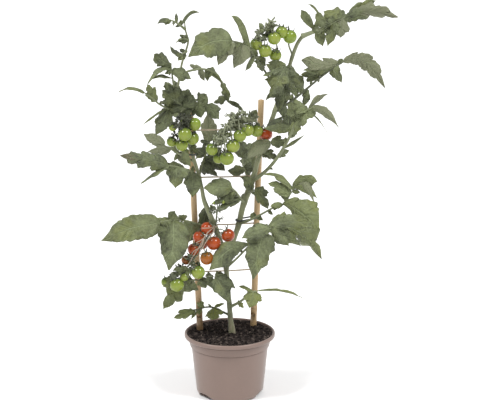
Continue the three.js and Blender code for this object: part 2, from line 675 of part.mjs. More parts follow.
// Peat that fills the pot, with a lumpy top, cut by what stands in it.
function soilSolid(standing) {
  const rings = 4;
  const segments = 20;
  const top = POT_RIM_RADIUS - POT_LIP_WIDTH - SOIL_GAP;
  const neck = POT_RIM_RADIUS - POT_NECK_STEP - POT_WALL;
  const collar = POT_RIM_RADIUS - POT_COLLAR_STEP - POT_WALL;
  const sides = [
    [neck - SOIL_NECK_GAP, SOIL_TOP - SOIL_NECK_DEPTH],
    [collar - SOIL_BODY_GAP, SOIL_TOP - SOIL_BODY_DEPTH],
    [POT_BASE_RADIUS - POT_FOOT_BEVEL - 1, POT_FLOOR + CLEARANCE],
  ];
  const vertices = [new THREE.Vector3(0, 0, SOIL_TOP)];
  const triangles = [];
  for (let i = 1; i <= rings; i += 1) {
    for (let j = 0; j < segments; j += 1) {
      const angle = (2 * Math.PI * j) / segments;
      const radius = (top * i) / rings;
      const lump = SOIL_LUMP * Math.sin(5.1 * i + 2.3 * j) * Math.sin(1.7 * i * j);
      const height = SOIL_TOP + (i < rings ? lump : 0);
      vertices.push(new THREE.Vector3(radius * Math.cos(angle), radius * Math.sin(angle), height));
    }
  }
  for (const [radius, height] of sides) {
    for (let j = 0; j < segments; j += 1) {
      const angle = (2 * Math.PI * j) / segments;
      vertices.push(new THREE.Vector3(radius * Math.cos(angle), radius * Math.sin(angle), height));
    }
  }
  const middle = vertices.length;
  vertices.push(new THREE.Vector3(0, 0, POT_FLOOR + CLEARANCE));
  for (let j = 0; j < segments; j += 1) {
    const next = (j + 1) % segments;
    triangles.push([0, 1 + j, 1 + next]);
    for (let i = 0; i < rings + sides.length - 1; i += 1) {
      const inner = 1 + i * segments;
      const outer = inner + segments;
      triangles.push([inner + j, outer + j, outer + next], [inner + j, outer + next, inner + next]);
    }
    const bottom = 1 + (rings + sides.length - 1) * segments;
    triangles.push([bottom + j, middle, bottom + next]);
  }
  return standing.reduce((soil, piece) => soil.subtract(piece), solidFrom(vertices, triangles));
}

// ---------------------------------------------------------------- bamboo ladder

function canePlace(cane, height) {
  const foot = point(cane.foot);
  const top = point(cane.top);
  return foot.clone().lerp(top, (height - foot.z) / (top.z - foot.z));
}

// A bamboo cane: a turned rod with a knot at each pitch, stood from its foot to its top.
function caneSolid(cane, extra) {
  const foot = point(cane.foot);
  const axis = point(cane.top).sub(foot);
  const length = axis.length();
  const radius = CANE_RADIUS + extra;
  const profile = [new THREE.Vector2(0, -extra), new THREE.Vector2(radius, -extra)];
  for (let knot = CANE_KNOT_PITCH / 2; knot < length - 10; knot += CANE_KNOT_PITCH) {
    profile.push(new THREE.Vector2(radius, knot - 4));
    profile.push(new THREE.Vector2(radius + CANE_KNOT, knot));
    profile.push(new THREE.Vector2(radius, knot + 3));
  }
  profile.push(new THREE.Vector2(radius, length), new THREE.Vector2(0, length));
  const rod = new THREE.LatheGeometry(profile, CANE_SIDES);
  const turn = new THREE.Quaternion().setFromUnitVectors(new THREE.Vector3(0, 1, 0), axis.normalize());
  rod.applyQuaternion(turn);
  rod.translate(foot.x, foot.y, foot.z);
  return solidOf(rod);
}

// A round bar between two points.
function bar(from, to, radius, sides) {
  const axis = to.clone().sub(from);
  const rod = new THREE.CylinderGeometry(radius, radius, axis.length(), sides);
  const turn = new THREE.Quaternion().setFromUnitVectors(new THREE.Vector3(0, 1, 0), axis.normalize());
  rod.applyQuaternion(turn);
  const middle = from.clone().add(to).multiplyScalar(0.5);
  rod.translate(middle.x, middle.y, middle.z);
  return solidOf(rod);
}

// A rung's two ends, each so far inside its cane, and drawn back by a gap.
function rungEnds(height, gap) {
  const left = canePlace(CANES.cane_left, height);
  const right = canePlace(CANES.cane_right, height);
  const across = right.clone().sub(left).normalize();
  const inset = CANE_RADIUS - RUNG_SEAT + gap;
  return [left.addScaledVector(across, inset), right.addScaledVector(across, -inset)];
}

function drilledCane(cane) {
  return RUNG_HEIGHTS.reduce((solid, height) => {
    const [from, to] = rungEnds(height, 0);
    return solid.subtract(bar(from, to, RUNG_RADIUS + CLEARANCE, 8));
  }, caneSolid(cane, 0));
}

// ---------------------------------------------------------------- stem

// The main stem and its two shoots as one body, made fatter by extra where it cuts others.
function stemSolid(extra) {
  const shoots = Object.values(SHOOTS).map((points) => (
    sweep(curveThrough(points), radiusBetween(points, extra), 6, points.length - 1)
  ));
  const fork = SHOOTS.main[SHOOTS.main.length - 1];
  const swelling = new THREE.IcosahedronGeometry(fork[3] + 0.4 + extra, 0);
  swelling.translate(fork[0], fork[1], fork[2]);
  return wasm.Manifold.union([...shoots, solidOf(swelling)]);
}

// ---------------------------------------------------------------- leaves

// A leaflet's half width along its rib: an egg shape with a drawn-out tip.
function leafletShape(s) {
  return Math.sin(Math.PI * s ** 0.7) ** 0.85;
}

// A lobed blade along an arched rib, three vertices wide, split into triangles alike on both faces.
function bladeSolid(base, { tip, width, turn, arch, cut }) {
  const end = point(tip);
  const length = base.distanceTo(end);
  const crown = base.clone().add(end).multiplyScalar(0.5).addScaledVector(UP, arch * length);
  const rib = new THREE.QuadraticBezierCurve3(base, crown, end);
  const lobes = Math.min(4, Math.max(2, Math.round(length / LOBE_LENGTH)));
  const stations = 2 * lobes;
  const faces = [[], []];
  for (let k = 0; k <= stations; k += 1) {
    const s = k / stations;
    const centre = rib.getPoint(s);
    const along = rib.getTangent(s);
    const face = FRONT.clone().addScaledVector(along, -FRONT.dot(along)).normalize();
    face.applyAxisAngle(along, THREE.MathUtils.degToRad(turn));
    const side = new THREE.Vector3().crossVectors(along, face);
    const notch = k % 2 === 0 ? cut : 0;
    const half = (width / 2) * leafletShape(s) * (1 - notch);
    const lean = BLADE_LEAN * length * Math.sin(Math.PI * s);
    const columns = k === 0 || k === stations ? [0] : [-1, 0, 1];
    for (const q of columns) {
      const place = centre.clone()
        .addScaledVector(side, q * half)
        .addScaledVector(face, -BLADE_FOLD * half * Math.abs(q))
        .addScaledVector(along, lean * Math.abs(q));
      faces[0].push(place.clone().addScaledVector(face, BLADE_THICKNESS / 2));
      faces[1].push(place.clone().addScaledVector(face, -BLADE_THICKNESS / 2));
    }
  }
  const last = faces[0].length - 1;
  const sheet = [];
  for (const q of [0, 1]) {
    sheet.push([0, 1 + q, 2 + q]);
    for (let k = 1; k < stations - 1; k += 1) {
      const a = 3 * k - 2 + q;
      sheet.push([a, a + 3, a + 4], [a, a + 4, a + 1]);
    }
    sheet.push([last - 3 + q, last, last - 2 + q]);
  }
  const rim = [0];
  for (let k = 1; k < stations; k += 1) rim.push(3 * k - 2);
  rim.push(last);
  for (let k = stations - 1; k > 0; k -= 1) rim.push(3 * k);
  const count = last + 1;
  const triangles = [];
  for (const [a, b, c] of sheet) {
    triangles.push([a, c, b], [a + count, b + count, c + count]);
  }
  rim.forEach((a, i) => {
    const b = rim[(i + 1) % rim.length];
    triangles.push([a, b, b + count], [a, b + count, a + count]);
  });
  return solidFrom([...faces[0], ...faces[1]], triangles);
}

// A leaf: a tapering stalk with its leaflets, rooted on the shoot.
function leafSolid(leaf) {
  const curve = curveThrough(leaf.stalk);
  const radiusAt = (t) => THREE.MathUtils.lerp(RACHIS_ROOT, RACHIS_TIP, t);
  const parts = [sweep(curve, radiusAt, 3, Math.max(3, leaf.stalk.length - 1))];
  for (const one of leaf.leaflets) {
    parts.push(bladeSolid(curve.getPoint(one.at), one));
  }
  return wasm.Manifold.union(parts);
}

// ---------------------------------------------------------------- fruit trusses

// A round fruit of few faces, with its axis through the middle of one.
function ball(centre, axis, radius) {
  const round = radius > 8 ? new THREE.SphereGeometry(radius, 7, 5) : new THREE.SphereGeometry(radius, 6, 4);
  round.rotateY(Math.PI / 12);
  round.applyQuaternion(new THREE.Quaternion().setFromUnitVectors(new THREE.Vector3(1, 0, 0), axis));
  round.translate(centre.x, centre.y, centre.z);
  return solidOf(round);
}

// The way a fruit's top points: up, and over to where its pedicel starts.
function fruitAxis(centre, root) {
  return root.clone().sub(centre).normalize().addScaledVector(UP, 0.7).normalize();
}

// A calyx: a flat five-pointed star lying on the top of the fruit, its points bent up a little.
function calyxSolid(centre, axis, radius) {
  const turn = new THREE.Quaternion().setFromUnitVectors(UP, axis);
  const rim = 2 * SEPAL_COUNT;
  const vertices = [];
  const triangles = [];
  for (const lift of [0.5 + SEPAL_THICKNESS, 0.5]) {
    for (let k = 0; k < rim; k += 1) {
      const angle = (Math.PI * k) / SEPAL_COUNT;
      const reach = radius * (k % 2 === 0 ? 0.85 : 0.25);
      const height = radius + lift + (k % 2 === 0 ? 0.5 : 0);
      vertices.push(new THREE.Vector3(reach * Math.cos(angle), reach * Math.sin(angle), height));
    }
  }
  const face = [];
  for (let k = 0; k < rim; k += 2) face.push([(k + rim - 1) % rim, k, k + 1]);
  for (let k = 3; k < rim - 1; k += 2) face.push([1, k, k + 2]);
  for (const [i, j, k] of face) {
    triangles.push([i, j, k], [i + rim, k + rim, j + rim]);
  }
  for (let k = 0; k < rim; k += 1) {
    const next = (k + 1) % rim;
    triangles.push([k + rim, next + rim, next], [k + rim, next, k]);
  }
  return solidFrom(vertices.map((v) => v.applyQuaternion(turn).add(centre)), triangles);
}

// The truss's green body, and its ripe fruits apart from it.
function trussSolids(truss) {
  const curve = curveThrough(truss.stalk);
  const radiusAt = (t) => THREE.MathUtils.lerp(TRUSS_RADIUS, PEDICEL_RADIUS, t);
  const greens = [sweep(curve, radiusAt, 4, truss.stalk.length - 1)];
  const ripe = [];
  for (const { at, centre, diameter, material } of truss.fruits) {
    const middle = point(centre);
    const radius = diameter / 2;
    const root = curve.getPoint(at);
    const axis = fruitAxis(middle, root);
    const top = middle.clone().addScaledVector(axis, radius * 0.9);
    const bend = middle.clone().addScaledVector(axis, radius * 1.6);
    const pedicel = new THREE.QuadraticBezierCurve3(root, bend, top);
    greens.push(sweep(pedicel, () => PEDICEL_RADIUS, 3, 2));
    if (diameter > 13) greens.push(calyxSolid(middle, axis, radius));
    if (material === GREEN) {
      greens.push(ball(middle, axis, radius));
    } else {
      ripe.push({ middle, axis, radius, material });
    }
  }
  let body = wasm.Manifold.union(greens);
  for (const { middle, axis, radius } of ripe) {
    body = body.subtract(ball(middle, axis, radius + 1.5 * CLEARANCE));
  }
  return { body, ripe };
}

// ---------------------------------------------------------------- ties

// Where a shoot's middle is at a height.
function shootPlace(shoot, height) {
  const points = SHOOTS[shoot];
  const i = points.findIndex((here, k) => k > 0 && here[2] >= height);
  const share = (height - points[i - 1][2]) / (points[i][2] - points[i - 1][2]);
  return point(points[i - 1]).lerp(point(points[i]), share);
}

// A flat band in a level plane, round a cane and a shoot.
function tieSolid([a, b], height, reach) {
  const across = Math.atan2(b.y - a.y, b.x - a.x);
  const span = Math.hypot(b.x - a.x, b.y - a.y);
  const loop = (radius) => {
    const outline = new THREE.Shape();
    outline.absarc(span, 0, radius, -Math.PI / 2, Math.PI / 2);
    outline.absarc(0, 0, radius, Math.PI / 2, (3 * Math.PI) / 2);
    outline.closePath();
    return outline;
  };
  const outline = loop(reach + TIE_THICKNESS);
  outline.holes.push(loop(reach));
  const extent = { depth: TIE_WIDTH, bevelEnabled: false, curveSegments: 3 };
  const ring = new THREE.ExtrudeGeometry(outline, extent);
  ring.rotateZ(across);
  ring.translate(a.x, a.y, height - TIE_WIDTH / 2);
  return solidOf(ring);
}

// ---------------------------------------------------------------- the plant, put together

const plant = new THREE.Group();
plant.name = 'cherry_tomato_plant';

function place(name, solid, material) {
  plant.add(meshOf(name, solid, material));
}

const stem = stemSolid(0);
const stemRoom = stemSolid(CLEARANCE);

place('pot', potSolid(), POT_PLASTIC);
place('soil', soilSolid([stemRoom, ...Object.values(CANES).map((cane) => caneSolid(cane, CLEARANCE))]), PEAT);
for (const [name, cane] of Object.entries(CANES)) {
  place(name, drilledCane(cane), BAMBOO);
}
RUNG_HEIGHTS.forEach((height, i) => {
  const [from, to] = rungEnds(height, CLEARANCE);
  place(`rung_${i + 1}`, bar(from, to, RUNG_RADIUS, 8), BAMBOO);
});
place('stem', stem, STEM_GREEN);
TIES.forEach(({ name, cane, shoot, height, slack }) => {
  const held = [canePlace(CANES[cane], height), shootPlace(shoot, height)];
  place(name, tieSolid(held, height, slack), TIE_RUBBER);
});
for (const leaf of LEAVES) {
  place(leaf.name, leafSolid(leaf).subtract(stemRoom), LEAF_GREEN);
}
for (const truss of TRUSSES) {
  const { body, ripe } = trussSolids(truss);
  place(truss.name, body.subtract(stemRoom), FRUIT_GREEN);
  ripe.forEach(({ middle, axis, radius, material }, i) => {
    place(`${truss.name}_ripe_${i + 1}`, ball(middle, axis, radius), material);
  });
}

export default plant;
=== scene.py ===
"""A cherry tomato plant in a nursery pot, tied to a bamboo ladder: the fine pieces round the packed model.

The plan is laid out in the camera's frame and turned into whole millimetres, and MM turns those into metres.
Every surface is a closed grid: rows along it, columns across it or round it.
"""

from math import cos, radians, sin

import bpy
import numpy as np
from bpy.props import FloatProperty, FloatVectorProperty, IntProperty, PointerProperty
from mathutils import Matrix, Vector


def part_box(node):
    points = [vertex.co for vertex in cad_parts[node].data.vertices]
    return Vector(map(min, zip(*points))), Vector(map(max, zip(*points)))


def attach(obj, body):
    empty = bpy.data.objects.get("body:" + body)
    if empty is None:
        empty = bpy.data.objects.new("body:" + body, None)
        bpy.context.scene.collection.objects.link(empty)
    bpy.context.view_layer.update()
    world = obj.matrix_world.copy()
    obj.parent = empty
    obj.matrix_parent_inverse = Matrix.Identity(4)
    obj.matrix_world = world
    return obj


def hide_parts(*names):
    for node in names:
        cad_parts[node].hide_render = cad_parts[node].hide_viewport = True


bl_info = {
    "name": "Potted cherry tomato",
    "version": (1, 0, 0),
    "blender": (4, 5, 0),
    "location": "3D View > Sidebar > Plant",
    "description": "Builds a cherry tomato plant with its pot, ladder, leaves and fruit",
    "category": "Add Mesh",
}

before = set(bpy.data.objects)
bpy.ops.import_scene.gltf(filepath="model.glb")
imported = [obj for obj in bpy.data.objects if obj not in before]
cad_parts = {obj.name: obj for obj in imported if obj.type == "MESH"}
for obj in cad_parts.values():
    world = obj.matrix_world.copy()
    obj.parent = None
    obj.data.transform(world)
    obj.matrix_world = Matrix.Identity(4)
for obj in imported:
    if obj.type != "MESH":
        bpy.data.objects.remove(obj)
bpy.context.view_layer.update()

MM = 0.001
UP = np.array([0.0, 0.0, 1.0])
FRONT = np.array([0.0, -0.974, 0.226])  # the way a flat leaflet faces
BODY = "root"
BASE_RADIUS = 51.5 * MM
PEAT_LEVEL = 92.5 * MM

# ---------------------------------------------------------------- the plan of the plant

# The plan is laid out as it is seen. A mark is a column and a row of the camera's frame, which is 500 wide
# and 400 high, and a depth in millimetres behind the pot's axis. spot() turns a mark into a place. Leaflet
# widths and fruit diameters are in the same frame units, and across_view() turns them into millimetres.
FRAME_MIDDLE = (250, 200)
FRAME_FOCUS = 1337.0  # the lens's focal length in frame units
FRAME_UNIT = 1.53  # millimetres of the plant to one frame unit
VIEW_PITCH = radians(13.05)  # how far the view looks down
VIEW_DISTANCE = 2000.0  # millimetres from the eye to the point it looks at
VIEW_TARGET = (31.0, 0.0, 303.4)
EYE = (
    VIEW_TARGET[0], VIEW_TARGET[1] - VIEW_DISTANCE * cos(VIEW_PITCH),
    VIEW_TARGET[2] + VIEW_DISTANCE * sin(VIEW_PITCH),
)


def spot(column, row, depth):
    """The place in whole millimetres that is seen at a mark. The ray from the eye runs forward by one, right
    by (column - 250) / focus and up by (200 - row) / focus, in the view's own axes, and ends where its y is
    the depth."""
    right, up = (column - FRAME_MIDDLE[0]) / FRAME_FOCUS, (FRAME_MIDDLE[1] - row) / FRAME_FOCUS
    ray = (right, cos(VIEW_PITCH) + up * sin(VIEW_PITCH), -sin(VIEW_PITCH) + up * cos(VIEW_PITCH))
    far = (depth - EYE[1]) / ray[1]
    return tuple(round(start + far * step) for start, step in zip(EYE, ray))


def across_view(size):
    """A width in frame units, in whole millimetres."""
    return round(size * FRAME_UNIT)


# The stem's two points in the peat, which aren't seen: x, y, z and radius in millimetres.
STEM_FOOT = [(3, 5, 62, 5.4), (3.5, 5, 93, 6.2)]

# A shoot's rows are marks, each with the shoot's radius there in millimetres.
SHOOT_MARKS = {
    "main": [
        (230.5, 318, 4, 5.1), (229, 300, 2, 4.8), (227.5, 283, 1, 4.7), (226.5, 268, 1, 4.6),
        (226, 258, 1, 4.3),
    ],
    "left": [
        (226.5, 264, 1, 3.7), (222, 247, 0, 3.7), (215.5, 228, -1, 4), (209, 213, 0, 3.8),
        (204, 200, 3, 3.3), (201, 185, 6, 2.6), (198, 172, 8, 2.5), (192, 155, 7, 2.3), (186, 138, 4, 2.2),
        (181, 120, 2, 2), (178.5, 104, 1, 1.9), (178, 90, 0, 1.8), (180, 76, 0, 1.6), (182, 62, 0, 1.5),
        (186.5, 50, 0, 1.4), (188, 40, 0, 1.2), (185.5, 29, 0, 1), (184.5, 17, 0, 0.7),
    ],
    "right": [
        (226.5, 264, 1, 3.7), (229, 252, 4, 3.7), (234, 238, 10, 4), (238.5, 224, 17, 4.2),
        (243, 207, 24, 4.4), (249, 190, 28, 4.5), (254, 175, 30, 4), (258, 160, 30, 3.4),
        (264, 142, 30, 3.4), (271, 123, 28, 3.4), (276, 107, 26, 3.3), (282, 88, 22, 3), (288, 71, 18, 2.8),
        (293, 55, 14, 2.7), (298, 43, 11, 2.7), (304, 34, 8, 2.5),
    ],
}

# A leaf is its name, its stalk's marks and its leaflets. A leaflet is its place along the stalk from 0 to 1,
# its tip's mark, its width, its turn about the rib in degrees, its arch, its depth of cut and, where its
# widest place isn't the common one, its belly.
LEAF_MARKS = [
    ("leaf_left_low", [
        (215, 230, -1), (202, 226, 3), (186, 221, -10), (172, 220, -26), (160, 222, -36),
    ], [
        (1, 101.2, 240.6, -74, 27, 12, 0.03, 0.08, 0.55), (0.7, 168.8, 270.5, -52, 32, 8, 0.08, 0.06, 0.55),
        (0.4, 188, 242, 8, 22, 15, 0.06, 0.1, 0.6), (0.78, 174.8, 210.5, -34, 8, 20, 0.1, 0.1),
        (0.85, 154, 228.5, -38, 16, 10, 0, 0.1), (0.75, 160.5, 223.5, -38, 10, 10, 0, 0.1),
        (0.62, 168, 213, -34, 8, 25, 0.05, 0.2), (0.55, 184, 214.5, -22, 9, 15, 0, 0.1),
    ]),
    ("leaf_left_mid", [
        (199.5, 177, 7), (190, 171, -5), (179, 167, -12), (168, 165, -18),
    ], [
        (1, 120, 156, -52, 19, 15, 0.1, 0.2, 0.55), (0.72, 175.5, 188, -24, 24, 10, 0.05, 0.12, 0.35),
        (0.25, 193, 197, -10, 18, 10, 0.05, 0.2), (0.97, 140.5, 183.5, -34, 9, 65, 0.1, 0.1),
        (0.5, 160, 166, -16, 13, 15, 0.05, 0.3), (0.3, 190, 180, -8, 12, 10, 0.05, 0.2),
    ]),
    ("leaf_left_back", [
        (194.5, 162, 9), (187, 158, 14), (179, 154, 32), (171, 149, 50), (164, 145, 62),
    ], [
        (1, 143.5, 134, 84, 13, 20, 0.06, 0.1), (0.75, 148, 152, 60, 11, 25, 0.08, 0.25),
        (0.55, 192, 166, 50, 11, 15, 0.05, 0.1), (0.55, 169, 136, 62, 8, 40, 0.05, 0.2),
    ]),
    ("leaf_left_high", [
        (179.5, 112, 1), (168, 109, -10), (159, 104, -20), (152, 98, -28), (145, 93, -34),
    ], [
        (1, 119, 92, -58, 7, 60, 0.3, 0.1), (0.6, 147, 85, -40, 13, 20, 0.06, 0.3, 0.6),
        (0.24, 155.8, 135, -34, 19, 12, 0.1, 0.2, 0.55), (0.26, 142, 126, -30, 3, 40, 0.15, 0.1),
    ]),
    ("leaf_left_top", [
        (178, 95, -1), (174, 85, -12), (172, 75, -18), (171, 67, -22),
    ], [
        (1, 154, 54.5, -30, 16, 8, 0.1, 0.35, 0.9), (0.9, 147, 85, -38, 8, 45, 0.5, 0.1),
        (0.55, 151, 79.5, -34, 5, 50, 0.22, 0.1), (0.82, 191, 79, -26, 14, 12, 0.1, 0.35),
    ]),
    ("leaf_left_core", [
        (178, 101, 0), (179, 97, 7), (180, 92, 10),
    ], [
        (0.9, 164.5, 107, -8, 25, 8, 0.12, 0.25), (0.7, 191.5, 101.5, -6, 16, 15, 0.12, 0.3),
        (1, 163, 86, -3, 18, 20, 0.12, 0.3), (0.5, 176, 112, -6, 14, 10, 0.05, 0.35),
        (0.6, 190, 110, -4, 12, 15, 0.05, 0.35),
    ]),
    ("leaf_mid_top", [
        (179, 108, 2), (188, 104, 4), (198, 103, 6), (208, 104, 6),
    ], [
        (1, 219, 119, -2, 16, 12, 0.08, 0.25), (0.55, 201, 118, 0, 17, 12, 0.08, 0.25),
        (0.7, 207, 94, 12, 15, 15, 0.08, 0.35), (0.32, 192, 111, -4, 12, 15, 0.1, 0.2),
        (0.45, 196, 110, 0, 11, 15, 0.05, 0.35), (0.8, 212, 112, 4, 9, 15, 0.05, 0.3),
    ]),
    ("leaf_arch", [
        (180.5, 75, 1), (190, 71, 18), (205, 69, 36), (218, 76, 50), (225, 90, 60), (228, 101, 62),
    ], [
        (1, 245, 113, 66, 5, 20, 0.12, 0.15), (0.92, 214, 103, 62, 10, 10, 0.08, 0.35),
        (0.36, 189.5, 64.8, 24, 8, 25, 0.05, 0.25), (0.33, 204.5, 80.5, 34, 7, 15, 0.04, 0.2),
        (0.43, 207, 81, 44, 7, 15, 0.04, 0.2), (0.42, 222, 84, 52, 8, 25, 0.25, 0.15),
        (0.74, 228, 103, 58, 8, 15, 0.06, 0.2), (0.5, 213, 67, 50, 6, 20, 0.1, 0.2),
        (0.82, 221, 80, 64, 6, 15, 0.1, 0.2),
    ]),
    ("leaf_center_back", [
        (199.5, 174, 9), (204, 160, 34), (208, 149, 52), (210, 141, 58),
    ], [
        (1, 208, 112.5, 70, 17, 12, 0.03, 0.1, 0.55), (0.9, 200, 141, 56, 9, 15, 0.05, 0.3),
        (0.45, 194, 149, 52, 17, 15, 0.1, 0.25), (0.35, 225, 171, 44, 17, 12, 0.08, 0.25),
        (0.6, 230, 161, 60, 15, 15, 0.08, 0.25), (0.2, 204.5, 175.5, 38, 9, 10, 0, 0.3),
        (0.2, 218, 176, 38, 9, 20, 0, 0.3), (0.3, 207, 174, 30, 11, 10, 0, 0.3),
        (0.4, 216, 166, 46, 10, 20, 0.05, 0.3),
    ]),
    ("leaf_right_back", [
        (250, 188, 29), (247, 176, 56), (243, 165, 74), (242, 158, 82),
    ], [
        (1, 241, 142, 92, 15, 12, 0.05, 0.2), (0.5, 227, 171, 72, 13, 12, 0.08, 0.3),
        (0.55, 253, 170, 62, 14, 12, 0.08, 0.3),
    ]),
    ("leaf_center_low", [
        (244, 203, 25), (240, 198, 8), (236, 192, -2), (232, 188, -6),
    ], [
        (1, 204, 188, -22, 20, 12, 0.1, 0.12, 0.6), (0.3, 217, 212, -8, 10, 20, 0.06, 0.2),
        (0.7, 220, 201, 0, 12, 20, 0.06, 0.2), (0.35, 212, 204, -10, 10, 20, 0.05, 0.3),
    ]),
    ("leaf_center_front", [
        (259, 158, 30), (265, 150, 10), (271, 142, -2),
    ], [
        (1, 247, 158, -20, 15, 8, 0.15, 0.15), (1, 287, 145, 0, 13, 12, 0.08, 0.25),
        (0.35, 277, 159, 0, 11, 15, 0.08, 0.3), (0.5, 262, 140, 0, 9, 20, 0.05, 0.3),
    ]),
    ("leaf_shade", [
        (272, 121, 28), (280, 118, 8), (288, 115, -4),
    ], [
        (1, 291, 134, -18, 18, 12, 0.12, 0.25), (0.6, 265, 128.4, -14, 9, 45, 0.08, 0.1),
        (0.8, 283, 106, -2, 12, 20, 0.08, 0.3),
    ]),
    ("leaf_right_mid", [
        (252, 181, 29), (265, 172, 10), (277, 158, -4), (288, 140, -16), (296, 123, -26), (304, 112, -32),
        (311, 108, -36),
    ], [
        (1, 338.6, 127.5, -60, 10, 30, 0.3, 0.15), (0.95, 329, 94, -44, 7, 45, 0.2, 0.1),
        (0.93, 287, 105, -40, 15, 15, 0.06, 0.35), (0.88, 294, 131, -34, 12, 20, 0.06, 0.25),
        (0.88, 303, 127, -46, 10, 25, 0.05, 0.2), (0.84, 327, 133, -36, 2, 60, 0.3, 0),
        (0.42, 305, 134, -14, 4, 40, -0.12, 0), (0.55, 301, 118, -10, 12, 15, 0.05, 0.3),
        (0.35, 289, 150, 6, 9, 20, 0.05, 0.3), (0.9, 285.5, 113.5, -30, 15, 15, 0.05, 0.3),
        (0.75, 297, 123, -26, 13, 10, 0.05, 0.3), (0.95, 312, 118, -40, 14, 10, 0.05, 0.2),
    ]),
    ("leaf_right_high", [
        (276, 111, 26), (290, 102.5, 38), (305, 90, 48), (320, 78, 56), (333, 68.5, 62), (343, 61.8, 66),
    ], [
        (1, 385, 88.5, 86, 18, 20, 0.48, 0.3, 0.9), (0.84, 301.5, 60, 46, 16, 12, 0, 0.12, 1.3),
        (0.8, 341.5, 82.8, 50, 13, 20, 0.05, 0.1, 0.35), (0.93, 322, 58, 82, 11, 25, 0.05, 0.2),
        (0.42, 304, 106, 44, 9, 15, 0.05, 0.2), (0.36, 292, 70, 60, 15, 15, 0.05, 0.35),
        (0.6, 301, 74, 64, 13, 15, 0.08, 0.3), (0.82, 303.5, 70.5, 48, 12, 10, 0.05, 0.2),
        (0.3, 288, 80, 46, 11, 20, 0.05, 0.4), (0.24, 286, 92, 42, 9, 30, 0.05, 0.4),
        (0.66, 312, 66, 54, 10, 20, 0.05, 0.3),
    ]),
    ("leaf_top_right", [
        (302, 36, 9), (315, 31, 2), (326, 27, -6), (337, 20, -14), (350, 14, -20),
    ], [
        (1, 398, 17, -40, 17, 28, 0.08, 0.3, 0.6), (1, 376, 1, -10, 10, 20, 0.15, 0.2),
        (0.55, 316, 14, -8, 17, 10, 0.08, 0.3), (0.88, 324, 12, 2, 18, 25, 0.08, 0.3, 0.8),
        (0.72, 328, 46, -20, 12, 20, 0.05, 0.15), (0.88, 341, 38, -30, 17, 12, 0.05, 0.4),
        (0.3, 323, 46, -4, 11, 15, 0.05, 0.1), (0.24, 301, 10, 0, 10, 12, 0.05, 0.1, 1.3),
        (0.48, 308, 4, -12, 4, 50, 0.35, 0), (0.35, 312, 30, 0, 11, 10, 0.05, 0.3),
        (0.62, 322, 34, -8, 11, 20, 0.05, 0.3), (0.8, 345, 28, -12, 12, 10, 0.05, 0.4),
    ]),
    ("leaf_upper_core", [
        (286, 77, 19), (287, 71, 0), (286, 66, -12),
    ], [
        (1, 270, 97, -28, 22, 8, 0.12, 0.4), (0.55, 280, 110, -16, 13, 12, 0.08, 0.35),
        (0.9, 263, 76, -22, 9, 20, 0.08, 0.3), (0.95, 268, 62, -8, 11, 20, 0.1, 0.3),
        (0.7, 289, 88, -14, 11, 20, 0.05, 0.4), (0.8, 293, 74, -10, 10, 10, 0.05, 0.4),
        (0.4, 266, 100, -14, 9, 10, 0.05, 0.4),
    ]),
    ("leaf_upper_left", [
        (279, 97, 24), (270, 79, 4), (259, 63, -14), (250, 50, -28), (243, 44, -36), (232, 41, -42),
    ], [
        (1, 188, 57, -66, 29, 8, 0.2, 0.1, 0.6), (1, 218, 65.6, -44, 15, 8, 0.05, 0.15, 0.55),
        (0.82, 234.2, 68, -34, 20, 8, 0.05, 0.15, 0.5), (0.62, 231, 15.8, -30, 8, 25, 0.36, 0.1, 0.6),
        (0.5, 245, 71, -14, 6, 20, 0.05, 0.15), (0.45, 266, 66, 6, 11, 15, 0.05, 0.2),
        (0.6, 259, 59, -4, 9, 20, 0, 0.2), (0.4, 262, 72, 8, 9, 20, 0.05, 0.3),
        (0.7, 252, 56, -16, 7, 20, 0, 0.2),
    ]),
    ("leaf_right_low", [
        (227, 267, 0), (236, 259, -16), (246, 249, -32), (256, 239, -44), (265, 231, -52), (272, 228, -56),
    ], [
        (1, 321.5, 259.5, -20, 34, 20, 0.36, 0.42, 0.75), (0.77, 253, 280, -60, 29, 8, 0.07, 0.12, 0.5),
        (0.5, 209.5, 269.8, -46, 23, 12, 0.24, 0.08, 1.5), (0.94, 316, 228, -64, 15, 20, 0.36, 0.15),
        (0.95, 242, 238, -60, 15, 10, 0.12, 0.1), (0.62, 258, 222, -44, 14, 15, 0.05, 0.2),
        (0.9, 283, 222, -50, 12, 20, 0.05, 0.2), (1, 288.5, 246, -50, 14, 10, 0, 0.2),
        (1, 301, 246, -40, 13, 10, 0.05, 0.2),
    ]),
    ("leaf_right_fold", [
        (238.5, 224, 17), (250, 220, 2), (262, 214, -8), (273, 208, -16), (283, 204, -22), (290, 195, -24),
        (294, 188, -24),
    ], [
        (1, 314.5, 203, -44, 9, 15, 0.8, 0.1, 0.8), (0.96, 264.5, 174.5, -12, 9, 45, 0.36, 0.2),
        (0.84, 268.5, 183, -18, 15, 15, 0.05, 0.35, 0.6), (0.66, 319, 230.5, -72, 31, 12, 0.3, 0.1, 1.2),
        (0.6, 270, 206, -22, 8, 20, 0.05, 0.2), (0.66, 272, 207, -30, 7, 15, 0.05, 0.2),
        (0.8, 281, 197, -20, 9, 10, 0, 0.25), (1, 317.5, 181.5, -42, 15, 15, 0.22, 0.1),
        (1, 316.8, 198.5, -44, 9, 20, 0.34, 0.1), (0.98, 307, 178.5, -36, 10, 25, 0.12, 0.1),
    ]),
    ("leaf_low_right", [
        (229.5, 307, 3), (238, 303, -14), (245, 298, -26), (252, 292, -34), (257, 291, -36),
    ], [
        (1, 305, 299, -50, 6, 62, 0.14, 0.3), (0.85, 249, 308, -42, 19, 8, 0.05, 0.2, 0.5),
        (0.8, 238, 286, -32, 5, 45, 0.08, 0.2),
    ]),
    ("leaf_low_front", [
        (229.5, 304, 2), (226.5, 297, -11), (215, 289, -19), (203, 282, -20), (190, 280, -14),
        (180, 284, -8),
    ], [
